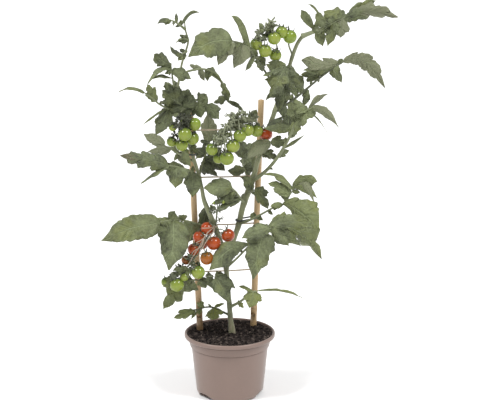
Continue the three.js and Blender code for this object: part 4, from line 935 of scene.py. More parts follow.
def mottle_group():
    """Mottle: a colour made lighter and darker by noise in two sizes, and the noise as a height."""
    tree = group_tree("mottle", [
        ("Colour", "NodeSocketColor", (0.5, 0.5, 0.5, 1)), ("Amount", "NodeSocketFloat", 0.2),
        ("Scale", "NodeSocketFloat", 100.0), ("Stretch", "NodeSocketVector", (1, 1, 1)),
    ], [("Colour", "NodeSocketColor"), ("Height", "NodeSocketFloat")])
    n = Nodes(tree)
    given = n.add("NodeGroupInput").outputs
    where = n.add("ShaderNodeTexCoord").outputs["Object"]
    where = n.add("ShaderNodeVectorMath", {0: where, 1: given["Stretch"]}, operation="MULTIPLY").outputs[0]
    coarse = n.add("ShaderNodeTexNoise", {"Vector": where, "Scale": given["Scale"], "Detail": 3.0}).outputs[0]
    size = n.math("MULTIPLY", given["Scale"], 5.3)
    fine = n.add("ShaderNodeTexNoise", {"Vector": where, "Scale": size, "Detail": 2.0}).outputs[0]
    both = n.math("MULTIPLY_ADD", fine, 0.4, n.math("MULTIPLY", coarse, 0.6))
    spread = n.math("SUBTRACT", both, 0.5)
    factor = n.math("MULTIPLY_ADD", spread, n.math("MULTIPLY", given["Amount"], 4.0), 1.0)
    tint = n.add("ShaderNodeVectorMath", {0: given["Colour"], "Scale": factor}, operation="SCALE").outputs[0]
    n.add("NodeGroupOutput", {"Colour": tint, "Height": both})
    return tree


def veins_group():
    """Veins: masks from a leaflet's map, whose first number counts lobes along the rib and whose second runs
    from one edge (0) over the rib (0.5) to the other (1)."""
    tree = group_tree("veins", [("Map", "NodeSocketVector", (0, 0, 0))],
                      [(label, "NodeSocketFloat") for label in ("Rib", "Side veins", "Relief")])
    n = Nodes(tree)
    given = n.add("NodeGroupInput").outputs["Map"]
    split = n.add("ShaderNodeSeparateXYZ", {0: given}).outputs
    across = n.math("ABSOLUTE", n.math("MULTIPLY_ADD", split[1], 2.0, -1.0))
    rib = n.ramp(across, 0.015, 0.08, 1.0, 0.0)
    halves = n.math("MULTIPLY", split[0], 2.0)
    off = n.math("ABSOLUTE", n.math("SUBTRACT", n.math("FRACT", halves), 0.5))
    main = n.ramp(off, 0.42, 0.485, 0.0, 1.0)
    finer = n.math("ABSOLUTE", n.math("SUBTRACT", n.math("FRACT", n.math("MULTIPLY", split[0], 6.0)), 0.5))
    finer = n.math("MULTIPLY", n.ramp(finer, 0.40, 0.49, 0.0, 1.0), 0.35)
    fade = n.ramp(across, 0.55, 1.0, 1.0, 0.25)
    side = n.math("MULTIPLY", n.math("MAXIMUM", main, finer), fade)
    relief = n.math("MAXIMUM", rib, side)
    n.add("NodeGroupOutput", {"Rib": rib, "Side veins": side, "Relief": relief})
    return tree


def material(name, **values):
    """A material with its Principled shader, whose plain numbers are set on its own sockets."""
    made = bpy.data.materials.new(name)
    made.use_nodes = True
    nodes = Nodes(made.node_tree)
    shader = nodes.add("ShaderNodeBsdfPrincipled", values)
    nodes.add("ShaderNodeOutputMaterial", {"Surface": shader.outputs[0]})
    return made, nodes, shader


def group_node(nodes, name, inputs):
    """A node that holds the named group, which is built when it is first asked for."""
    if name not in bpy.data.node_groups:
        {"mottle": mottle_group, "veins": veins_group}[name]()
    node = nodes.add("ShaderNodeGroup", node_tree=bpy.data.node_groups[name])
    for key, value in inputs.items():
        if isinstance(value, bpy.types.NodeSocket):
            nodes.tree.links.new(value, node.inputs[key])
        else:
            node.inputs[key].default_value = value
    return node


def set_bump(nodes, shader, height, strength, distance):
    """Feeds a height to the shader's normal."""
    bump = nodes.add("ShaderNodeBump", {"Height": height, "Strength": strength, "Distance": distance})
    nodes.tree.links.new(bump.outputs[0], shader.inputs["Normal"])


def mottled(name, colour_value, amount, scale, bump, stretch=(1, 1, 1), **values):
    """A material of one colour, mottled, with the mottle as its relief."""
    made, nodes, shader = material(name, **values)
    spots = group_node(nodes, "mottle", {"Colour": (*colour_value, 1), "Amount": amount, "Scale": scale,
                                         "Stretch": stretch})
    nodes.tree.links.new(spots.outputs["Colour"], shader.inputs["Base Color"])
    set_bump(nodes, shader, spots.outputs["Height"], 0.5, bump)
    return made


def toned(nodes, colour_socket, darker, lighter):
    """A colour carried towards a darker or lighter one by the tone's first number, from -1 to 1."""
    tone = nodes.add("ShaderNodeAttribute", attribute_name="tone").outputs["Color"]
    parts = nodes.add("ShaderNodeSeparateColor", {0: tone}).outputs
    low = nodes.math("MAXIMUM", nodes.math("MULTIPLY", parts[0], -1.0), 0.0)
    high = nodes.math("MAXIMUM", parts[0], 0.0)
    out = nodes.mix(low, colour_socket, darker)
    return nodes.mix(high, out, lighter), parts


def leaf_material(settings):
    """A leaf: grey-green above and paler below, with paler veins and a fine net between them, mottled and
    matt, its veins let in; yellower or browner where the tone says so. The coarse mottle is partly painted
    light and shade, and on some leaves the tone's first number paints light or shade."""
    made, nodes, shader = material("leaf blade", Roughness=0.46)
    shader.inputs["Sheen Weight"].default_value = 0.06
    shader.inputs["Sheen Roughness"].default_value = 0.4
    shader.inputs["Specular IOR Level"].default_value = 0.46
    # The strong coarse mottle is partly the leaf's own mottling and partly painted light and shade on the
    # foliage.
    above = group_node(nodes, "mottle", {"Colour": (*settings.upper, 1), "Amount": 1.1, "Scale": 60.0})
    # The tone's first number moves the colour towards these darker and lighter greens; for some leaves it is
    # painted light or shade.
    upper, tones = toned(nodes, above.outputs["Colour"], (0.023, 0.028, 0.013), (0.19, 0.222, 0.095))
    spot = nodes.add("ShaderNodeTexCoord").outputs["Object"]
    patches = nodes.add("ShaderNodeTexNoise", {"Vector": spot, "Scale": 38.0, "Detail": 2.0}).outputs[0]
    yellowed = nodes.math("MULTIPLY_ADD", nodes.ramp(patches, 0.5, 0.68), 0.3,
                          nodes.math("MULTIPLY", tones[1], 0.5))
    warm = nodes.mix(yellowed, upper, (0.185, 0.205, 0.035))
    side = nodes.mix(tones[2], warm, tuple(settings.under))
    where = nodes.add("ShaderNodeUVMap", uv_map="grain").outputs[0]
    veins = group_node(nodes, "veins", {"Map": where})
    strength = nodes.math("MAXIMUM", nodes.math("MULTIPLY", veins.outputs["Rib"], 0.75),
                          nodes.math("MULTIPLY", veins.outputs["Side veins"], 0.34))
    lined = nodes.mix(strength, side, tuple(settings.vein))
    cells = nodes.add("ShaderNodeTexVoronoi", {"Vector": spot, "Scale": 420.0}, feature="DISTANCE_TO_EDGE")
    net = nodes.ramp(cells.outputs["Distance"], 0.0, 0.25)
    netted = nodes.mix(nodes.math("MULTIPLY_ADD", net, -0.14, 0.14), lined, tuple(settings.vein))
    brown = nodes.add("ShaderNodeAttribute", attribute_name="tone").outputs["Alpha"]
    speckled = nodes.math("MULTIPLY", brown, nodes.ramp(above.outputs["Height"], 0.36, 0.56))
    final = nodes.mix(speckled, netted, (0.125, 0.103, 0.06))
    nodes.tree.links.new(final, shader.inputs["Base Color"])
    lumps = nodes.math("MULTIPLY_ADD", net, 0.45, nodes.math("MULTIPLY", above.outputs["Height"], 0.6))
    height = nodes.math("MULTIPLY_ADD", veins.outputs["Relief"], -1.0, lumps)
    set_bump(nodes, shader, height, 0.85, 1.2 * MM)
    return made


def stalk_material(name, skin):
    """A stem's skin: pale green with darker spots, lighter or darker along it by the tone's first number and
    the colour of bark by its third."""
    made, nodes, shader = material(name, Roughness=0.6)
    shader.inputs["Sheen Weight"].default_value = 0.25
    shader.inputs["Sheen Roughness"].default_value = 0.35
    spots = group_node(nodes, "mottle", {"Colour": (*skin, 1), "Amount": 0.28, "Scale": 90.0,
                                         "Stretch": (1, 1, 0.25)})
    out, tones = toned(nodes, spots.outputs["Colour"], (0.045, 0.05, 0.025), (0.36, 0.385, 0.24))
    out = nodes.mix(tones[2], out, (0.30, 0.265, 0.18))
    nodes.tree.links.new(out, shader.inputs["Base Color"])
    set_bump(nodes, shader, spots.outputs["Height"], 0.6, 0.4 * MM)
    return made


def fruit_material(name, skin, painted_top_shade, cheek):
    """A tomato's skin: glossy under a clear coat, and by the tone darker round its top, where shade under the
    calyx is painted, and lighter on one cheek."""
    made, nodes, shader = material(name, Roughness=0.3)
    shader.inputs["Specular IOR Level"].default_value = 0.12
    shader.inputs["Coat Weight"].default_value = 0.6
    shader.inputs["Coat Roughness"].default_value = 0.13
    shader.inputs["Subsurface Weight"].default_value = 0.12
    shader.inputs["Subsurface Radius"].default_value = (0.004, 0.002, 0.001)
    shader.inputs["Subsurface Scale"].default_value = 0.6
    spots = group_node(nodes, "mottle", {"Colour": (*skin, 1), "Amount": 0.1, "Scale": 160.0})
    tone = nodes.add("ShaderNodeAttribute", attribute_name="tone").outputs["Color"]
    parts = nodes.add("ShaderNodeSeparateColor", {0: tone}).outputs
    # Painted shade: the tone's first number darkens the skin round the top, as if shaded by the calyx.
    out = nodes.mix(nodes.math("MULTIPLY", parts[0], 0.9), spots.outputs["Colour"], painted_top_shade)
    out = nodes.mix(nodes.math("MULTIPLY", parts[1], 0.6), out, cheek)
    nodes.tree.links.new(out, shader.inputs["Base Color"])
    return made


# ---------------------------------------------------------------- pot and peat

PEAT_RINGS = 46
FIBRE_COUNT = 70
DRAIN_COUNT = 3
DRAIN_WIDTH = 38 * MM
DRAIN_HEIGHT = 8 * MM
DRAIN_DEPTH = 8 * MM
DRAIN_FIRST_ANGLE = np.radians(220)


def rounded(profile, radius, step_size, steps=4):
    """A profile whose corners are parabolas that start and end at most the radius from the corner, with
    points no further apart than the step size."""
    p = np.asarray(profile, float)
    before, here, after = p[:-2], p[1:-1], p[2:]
    back, on = before - here, after - here
    shorter = np.minimum(np.linalg.norm(back, axis=1), np.linalg.norm(on, axis=1))
    reach = np.minimum(radius, 0.45 * shorter)[:, None]
    s = np.linspace(0, 1, steps)[None, :, None]
    start, end = (here + reach * unit(back))[:, None], (here + reach * unit(on))[:, None]
    bends = (1 - s) ** 2 * start + 2 * s * (1 - s) * here[:, None] + s ** 2 * end
    corners = np.vstack([p[:1], bends.reshape(-1, 2), p[-1:]])
    walked = np.concatenate([[0], np.cumsum(np.linalg.norm(np.diff(corners, axis=0), axis=1))])
    stops = np.unique(np.concatenate([walked, np.arange(0, walked[-1], step_size)]))
    return np.stack([np.interp(stops, walked, corners[:, k]) for k in (0, 1)], -1)


def drain_blocks():
    """Three blocks with an arched top, each pushed in through the foot of the wall."""
    skin = Skin()
    half, low = DRAIN_WIDTH / 2, -2 * MM
    across = np.linspace(-1, 1, 17)
    crown = DRAIN_HEIGHT * (1 - np.abs(across) ** 3.2) + low * np.abs(across) ** 3.2
    outline = np.concatenate([np.stack([half * across, crown], -1), [[half, 2 * low], [-half, 2 * low]]])
    for k in range(DRAIN_COUNT):
        angle = DRAIN_FIRST_ANGLE + 2 * np.pi * k / DRAIN_COUNT
        out = np.array([np.cos(angle), np.sin(angle), 0.0])
        side = np.array([-np.sin(angle), np.cos(angle), 0.0])
        rings = []
        for reach in (BASE_RADIUS + 4 * MM, BASE_RADIUS - DRAIN_DEPTH):
            rings.append(reach * out + outline[:, :1] * side + outline[:, 1:] * UP)
        grid = np.stack(rings)
        add_rings(skin, grid, grid[0].mean(0), grid[1].mean(0))
    return skin.make("drain blocks", [])


def carved(piece, cutter):
    """The piece less the cutter, as a mesh of its own."""
    cut = piece.modifiers.new("drains", "BOOLEAN")
    cut.object = cutter
    cut.operation = "DIFFERENCE"
    cut.solver = "EXACT"
    bpy.context.view_layer.update()
    graph = bpy.context.evaluated_depsgraph_get()
    mesh = bpy.data.meshes.new_from_object(piece.evaluated_get(graph), preserve_all_data_layers=True,
                                           depsgraph=graph)
    if not mesh.polygons:
        raise RuntimeError("the drains took the whole pot away")
    piece.modifiers.clear()
    piece.data = mesh
    bpy.data.objects.remove(cutter)


class PLANT_OT_pot(bpy.types.Operator):
    """The nursery pot: a tapered wall under a folded lip, two steps below it, and three drain arches"""

    bl_idname = "plant.pot"
    bl_label = "Pot"

    def execute(self, context):
        pot = context.scene.plant_pot
        rim, top, wall = pot.rim_radius, pot.height, pot.wall
        under = top - pot.lip_height
        neck, collar, body = rim - 6.1 * MM, rim - 8.5 * MM, rim - 10.5 * MM
        base, mouth, floor = pot.base_radius, rim - pot.lip_width, 2.2 * MM
        profile = rounded([
            (0.5 * MM, 0), (base - 5 * MM, 0), (base - 1.75 * MM, 1.6 * MM), (base, 6.5 * MM),
            (body - 0.2 * MM, under - 16 * MM), (body - 0.7 * MM, under - 15 * MM),
            (collar, under - 14.2 * MM), (collar + 0.2 * MM, under - 12.5 * MM), (neck, under - 3.2 * MM),
            (neck - 0.9 * MM, under - 1.6 * MM), (neck - 0.5 * MM, under - 0.3 * MM),
            (rim - 1.2 * MM, under - 0.5 * MM), (rim, under + 0.7 * MM), (rim - 0.3 * MM, top - 1.2 * MM),
            (rim - 1.6 * MM, top), (mouth, top - 0.3 * MM), (mouth - 1.2 * MM, under + 1 * MM),
            (neck - wall, under - 2.4 * MM), (body - wall, under - 15 * MM), (base - wall, 7 * MM),
            (base - 5 * MM, floor), (0.5 * MM, floor),
        ], 0.7 * MM, 3 * MM)
        skin = Skin()
        grid = turned(profile, 160)
        add_rings(skin, grid, np.array([0, 0, 0.0]), np.array([0, 0, floor]))
        plastic = mottled("pot plastic", tuple(pot.plastic), 0.035, 40.0, 0.15 * MM, Roughness=0.42,
                          **{"Sheen Weight": 0.45, "Sheen Roughness": 0.35})
        piece = skin.make("nursery_pot", [plastic])
        carved(piece, drain_blocks())
        place(piece, "pot_plastic", "pot")
        return {"FINISHED"}


def ripples(x, y, wavelength, rng, count=18):
    """Random relief: a sum of plane waves of about one wavelength in seeded directions, about -1 to 1."""
    angle, phase = rng.random(count) * 2 * np.pi, rng.random(count) * 2 * np.pi
    number = 2 * np.pi / (wavelength * (0.7 + 0.6 * rng.random(count)))
    waves = np.cos(number * (x[..., None] * np.cos(angle) + y[..., None] * np.sin(angle)) + phase)
    return waves.sum(-1) / np.sqrt(count)


def crumbs(centres, sizes, rng):
    """Rough grains: twelve-cornered balls, turned and flattened at random, each corner pushed in or out."""
    g = (1 + 5 ** 0.5) / 2
    corners = unit(np.array([(-1, g, 0), (1, g, 0), (-1, -g, 0), (1, -g, 0), (0, -1, g), (0, 1, g),
                             (0, -1, -g), (0, 1, -g), (g, 0, -1), (g, 0, 1), (-g, 0, -1), (-g, 0, 1)], float))
    faces = np.array([(0, 11, 5), (0, 5, 1), (0, 1, 7), (0, 7, 10), (0, 10, 11), (1, 5, 9), (5, 11, 4),
                      (11, 10, 2), (10, 7, 6), (7, 1, 8), (3, 9, 4), (3, 4, 2), (3, 2, 6), (3, 6, 8),
                      (3, 8, 9), (4, 9, 5), (2, 4, 11), (6, 2, 10), (8, 6, 7), (9, 8, 1)])
    count = len(centres)
    shape = corners[None] * (0.7 + 0.6 * rng.random((count, 12, 1))) * (0.6 + 0.8 * rng.random((count, 1, 3)))
    angle = rng.random(count) * 2 * np.pi
    c, s = np.cos(angle)[:, None], np.sin(angle)[:, None]
    x, y = shape[..., 0] * c - shape[..., 1] * s, shape[..., 0] * s + shape[..., 1] * c
    points = centres[:, None] + sizes[:, None, None] * np.stack([x, y, shape[..., 2]], -1)
    triangles = (12 * np.arange(count)[:, None, None] + faces).reshape(-1, 3)
    return points.reshape(-1, 3), triangles


class PLANT_OT_peat(bpy.types.Operator):
    """The peat: a lumpy surface up to the lip, with crumbs, pale grains and bits of fibre on it"""

    bl_idname = "plant.peat"
    bl_label = "Peat"

    def execute(self, context):
        pot = context.scene.plant_pot
        rng = np.random.default_rng(11)
        low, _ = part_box("soil")
        level, foot = PEAT_LEVEL, low.z
        edge = pot.rim_radius - pot.lip_width - 1.6 * MM

        def height(x, y):
            far = smooth_step(0.8, 1.0, np.hypot(x, y) / edge)
            relief = 1.0 * ripples(x, y, 22 * MM, np.random.default_rng(5))
            relief = relief + 0.55 * ripples(x, y, 7 * MM, np.random.default_rng(6))
            relief = relief + 0.3 * ripples(x, y, 2.6 * MM, np.random.default_rng(7))
            heap = 2.6 * MM * smooth_step(0.55, 0.98, np.hypot(x, y) / edge)
            heap = heap * (0.65 + 0.35 * np.sin(np.arctan2(y, x)))
            return level + relief * MM * (1 - 0.6 * far) + heap

        rings = np.linspace(0.012, 1, PEAT_RINGS)
        profile = np.stack([edge * rings, np.full(PEAT_RINGS, level)], -1)
        sides = np.array([(edge - 3.6 * MM, level - 4.3 * MM), (edge - 8.6 * MM, level - 17.5 * MM),
                          (45 * MM, foot + 0.2 * MM), (1 * MM, foot + 0.2 * MM)])
        grid = turned(np.vstack([profile, sides]), 128)
        top = grid[:PEAT_RINGS]
        top[..., 2] = height(top[..., 0], top[..., 1])
        grid = grid[::-1]
        skin = Skin()
        shade = np.zeros((*grid.shape[:2], 4))
        shade[..., 0] = 0.3 * ripples(grid[..., 0], grid[..., 1], 12 * MM, rng)
        add_rings(skin, grid, np.array([0, 0, foot + 0.2 * MM]), np.array([0, 0, top[0, :, 2].mean()]),
                  tone=shade)

        count = pot.crumb_count
        radius = (edge - 1.6 * MM) * np.sqrt(rng.random(count))
        angle = rng.random(count) * 2 * np.pi
        x, y = radius * np.cos(angle), radius * np.sin(angle)
        sizes = (0.45 + 1.5 * rng.random(count) ** 3) * MM
        centres = np.stack([x, y, height(x, y) + 0.25 * sizes], -1)
        points, triangles = crumbs(centres, sizes, rng)
        tone = rng.random(count)
        shade = np.where(tone > 0.95, 0.4 + 0.6 * rng.random(count), -1.0 + 1.1 * tone)
        tones = np.repeat(np.stack([shade, rng.random(count), 0 * tone, 0 * tone + 1], -1), 12, 0)
        skin.add(points, [], triangles, tone=tones)

        for _ in range(FIBRE_COUNT):
            start, turn = rng.random(2) * 2 * np.pi, rng.random() * 2 * np.pi
            reach = 0.93 * edge * np.sqrt(rng.random())
            size = (2 + 5 * rng.random()) * MM
            s = np.linspace(-0.5, 0.5, 6)
            x = reach * np.cos(start[0]) + size * s * np.cos(turn) + 0.2 * size * s ** 2
            y = reach * np.sin(start[0]) + size * s * np.sin(turn) - 0.3 * size * s ** 2
            inside = np.hypot(x, y) < edge - 1 * MM
            if inside.all():
                path = np.stack([x, y, height(x, y) + 0.3 * MM], -1)
                add_tube(skin, path, 0.28 * MM, 4, tone=(0.25 + 0.5 * rng.random(), 0.8, 0, 1))

        made, nodes, shader = material("peat", Roughness=0.95)
        shader.inputs["Specular IOR Level"].default_value = 0.2
        grains = group_node(nodes, "mottle", {"Colour": (*pot.peat, 1), "Amount": 0.5, "Scale": 320.0})
        out, _ = toned(nodes, grains.outputs["Colour"], (0.0055, 0.0045, 0.0045), (0.18, 0.145, 0.122))
        nodes.tree.links.new(out, shader.inputs["Base Color"])
        set_bump(nodes, shader, grains.outputs["Height"], 0.9, 1.0 * MM)
        piece = skin.make("peat_fill", [made])
        place(piece, "peat", "soil")
        return {"FINISHED"}


# ---------------------------------------------------------------- ladder and ties

CANES = {
    "cane_left": ((-45.3, 19.2, 58), (-59.5, 28, 457)),
    "cane_right": ((34.8, 34.7, 58), (47.5, 43, 448)),
}
RUNG_HEIGHTS = (185, 258, 332, 404)
RUNG_SEAT = 5
TIES = (
    ("tie_left_high", "cane_left", "left", 428, 5.8),
    ("tie_left_low", "cane_left", "left", 372, 5.8),
    ("tie_right", "cane_right", "right", 268, 6.1),
)


def cane_place(name, height):
    """Where a cane's middle is at a height, in millimetres."""
    foot, top = (np.array(end, float) for end in CANES[name])
    return foot + (height - foot[2]) / (top[2] - foot[2]) * (top - foot)


def shoot_place(name, height):
    """Where a shoot's middle is at a height, in millimetres, straight between its points."""
    points = np.array(SHOOTS[name], float)
    return np.array([np.interp(height, points[:, 2], points[:, k]) for k in range(3)])


def bamboo_material(settings):
    """Bamboo: long pale and dark streaks up the cane, browner where the tone is low, with a waxy skin."""
    made, nodes, shader = material("bamboo", Roughness=0.42)
    shader.inputs["Coat Weight"].default_value = 0.12
    shader.inputs["Coat Roughness"].default_value = 0.3
    streaks = group_node(nodes, "mottle", {"Colour": (*settings.bamboo, 1), "Amount": 0.22, "Scale": 260.0,
                                           "Stretch": (1, 1, 0.035)})
    out, _ = toned(nodes, streaks.outputs["Colour"], (0.235, 0.14, 0.072), (0.66, 0.53, 0.36))
    nodes.tree.links.new(out, shader.inputs["Base Color"])
    set_bump(nodes, shader, streaks.outputs["Height"], 0.4, 0.3 * MM)
    return made


class PLANT_OT_ladder(bpy.types.Operator):
    """Two bamboo canes with their knots, four thin rungs and three rubber ties"""

    bl_idname = "plant.ladder"
    bl_label = "Ladder"

    def execute(self, context):
        ladder = context.scene.plant_ladder
        bamboo = bamboo_material(ladder)
        for name, (foot, top) in CANES.items():
            foot, top = np.array(foot) * MM, np.array(top) * MM
            size = np.linalg.norm(top - foot)
            knots = np.arange(ladder.knot_pitch / 2, size - 10 * MM, ladder.knot_pitch)
            around = knots[:, None] + np.array([-9, -5, -2.6, -1.2, -0.4, 0.4, 1.2, 2.2, 4, 8]) * MM
            plain, end = np.arange(0, size - 1 * MM, 14 * MM), [size - 0.8 * MM, size]
            d = np.unique(np.concatenate([plain, around.ravel(), end]))
            gap = (d[:, None] - knots[None]) / MM
            swell = (0.6 * np.exp(-((gap + 1.5) / 2.2) ** 2)
                     + 0.35 * np.exp(-((gap - 1.6) / 1.0) ** 2)).sum(1)
            groove = (0.5 * np.exp(-(gap / 0.5) ** 2)).sum(1)
            taper = 1.05 - 0.1 * d / size
            radius = ladder.cane_radius * taper + (swell - groove) * MM
            radius[-1] -= 0.7 * MM
            path = foot + (d / size)[:, None] * (top - foot)
            wobble = 0.25 * MM * np.sin(d / (47 * MM))
            path = path + wobble[:, None] * np.array([1.0, 0.6, 0])
            low = smooth_step(250 * MM, 90 * MM, path[:, 2]) * (1.0 if name == "cane_left" else 0.35)
            tone = np.zeros((len(d), 28, 4))
            tone[..., 0] = (0.15 - 0.9 * low - 0.5 * groove / 0.5)[:, None]
            skin = Skin()
            add_tube(skin, path, radius, 28, tone=tone)
            place(skin.make(name.replace("cane_", "bamboo_"), [bamboo]), "bamboo", name)
        wood = mottled("rung wood", (0.42, 0.34, 0.24), 0.25, 120.0, 0.2 * MM, stretch=(0.05, 1, 1),
                       Roughness=0.6)
        for k, height in enumerate(RUNG_HEIGHTS):
            left, right = (cane_place(name, height) * MM for name in CANES)
            across = unit(right - left)
            inset = ladder.cane_radius - (RUNG_SEAT - 0.3) * MM
            ends = left + inset * across, right - inset * across
            s = np.linspace(0, 1, 12)[:, None]
            path = ends[0] + s * (ends[1] - ends[0])
            path[:, 2] += 0.3 * MM * np.sin(2 * np.pi * s[:, 0] * 1.3)
            skin = Skin()
            add_tube(skin, path, ladder.rung_radius * (1 + 0.05 * np.sin(9 * s[:, 0])), 12)
            place(skin.make(f"ladder_rung_{k + 1}", [wood]), "rung_wood", f"rung_{k + 1}")
        rubber = mottled("tie rubber", tuple(ladder.rubber), 0.2, 300.0, 0.1 * MM, Roughness=0.5)
        for name, cane, shoot, height, slack in TIES:
            a, b = cane_place(cane, height) * MM, shoot_place(shoot, height) * MM
            place(tie_loop(name, a, b, height * MM, (slack + 0.45) * MM, rubber), "tie_rubber", name)
        return {"FINISHED"}


def tie_loop(name, a, b, height, reach, rubber):
    """A band round two uprights: two half circles and two straights, carrying an upright oval section."""
    a, b = a * [1, 1, 0], b * [1, 1, 0]
    on = unit(b - a)
    side = np.array([-on[1], on[0], 0])
    half = np.linspace(-np.pi / 2, np.pi / 2, 17)[:, None]
    out_b = np.cos(half) * on + np.sin(half) * side
    out_a = -np.cos(half) * on - np.sin(half) * side
    middle = np.concatenate([b + reach * out_b, a + reach * out_a])
    out = np.concatenate([out_b, out_a])
    s = np.linspace(0, 2 * np.pi, 10, endpoint=False)
    rings = (middle[:, None] + 0.45 * MM * np.cos(s)[None, :, None] * out[:, None]
             + (1.3 * MM * np.sin(s)[None, :, None] + height) * UP)
    rows, columns = rings.shape[:2]
    i, j = np.meshgrid(np.arange(rows), np.arange(columns), indexing="ij")
    n, k = (i + 1) % rows, (j + 1) % columns
    quads = np.stack([i * columns + j, n * columns + j, n * columns + k, i * columns + k], -1)
    skin = Skin()
    skin.add(rings, quads, [])
    return skin.make(name.replace("tie_", "band_"), [rubber])


# ---------------------------------------------------------------- stem

class PLANT_OT_stem(bpy.types.Operator):
    """The stem and its two shoots, ridged, swollen where leaves leave it, and hairy"""

    bl_idname = "plant.stem"
    bl_label = "Stem"

    def execute(self, context):
        stem = context.scene.plant_stem
        rng = np.random.default_rng(3)
        skin = Skin()
        joints = np.array([leaf[1][0] for leaf in LEAVES] + [truss[1][0] for truss in TRUSSES], float)
        for name, points in SHOOTS.items():
            t = np.linspace(0, 1, 12 * (len(points) - 1) + 1)
            here = spline(points, t)
            path, radius = here[:, :3] * MM, here[:, 3]
            near = np.linalg.norm(here[:, None, :3] - joints[None], axis=-1).min(1)
            swell = 0.12 * np.exp(-(near / 6) ** 2)
            radius = radius * (1 + swell + 0.02 * np.sin(here[:, 2] / 3.1)) * MM
            if name == "main":
                rise = here[:, 2]
                radius = radius * (0.74 + 0.14 * smooth_step(112, 88, rise)
                                   + 0.12 * smooth_step(170, 205, rise))
            tone = np.zeros((len(t), 20, 4))
            tone[..., 0] = (0.25 * np.sin(here[:, 2] / 23) - 0.9 * swell / 0.12 * 0.3)[:, None]
            if name == "main":
                tone[..., 0] += -0.05 - 0.3 * smooth_step(125, 160, here[:, 2])[:, None]
                around, rise = np.meshgrid(np.arange(20) * 1.6, here[:, 2])
                scuffs = ripples(around, 0.5 * rise, 7, np.random.default_rng(8))
                tone[..., 2] = np.clip(0.55 + 0.45 * scuffs, 0, 1) * smooth_step(135, 98, rise)
            add_tube(skin, path, radius, 20, ridges=0.035, tone=tone)
            add_hairs(skin, path, radius, int(150 * len(points)), stem.hair_length, rng, 1)
        fork = np.array(SHOOTS["main"][-1], float) * MM * [1, 1, 1, 0.95]
        lump = turned(np.stack([np.sin(np.linspace(0.15, 3, 12)), -np.cos(np.linspace(0.15, 3, 12))], -1), 20)
        radius = fork[3] + 0.5 * MM
        add_rings(skin, fork[:3] + radius * lump * [1, 0.9, 1.2], fork[:3] - 1.2 * radius * UP,
                  fork[:3] + 1.2 * radius * UP)
        bark = stalk_material("stem skin", tuple(stem.skin))
        hair, _, _ = material("stem hair", Roughness=0.7)
        hair.node_tree.nodes["Principled BSDF"].inputs["Base Color"].default_value = (*stem.hair, 1)
        place(skin.make("stem_and_shoots", [bark, hair]), "stem_green", "stem")
        return {"FINISHED"}


# ---------------------------------------------------------------- leaves

STALK_ROOT = 1.8
STALK_TIP = 0.9
BLADE_FOLD = 0.28
BLADE_LEAN = 0.075
LOBE_LENGTH = 22
SPRIG_RADIUS = 0.4


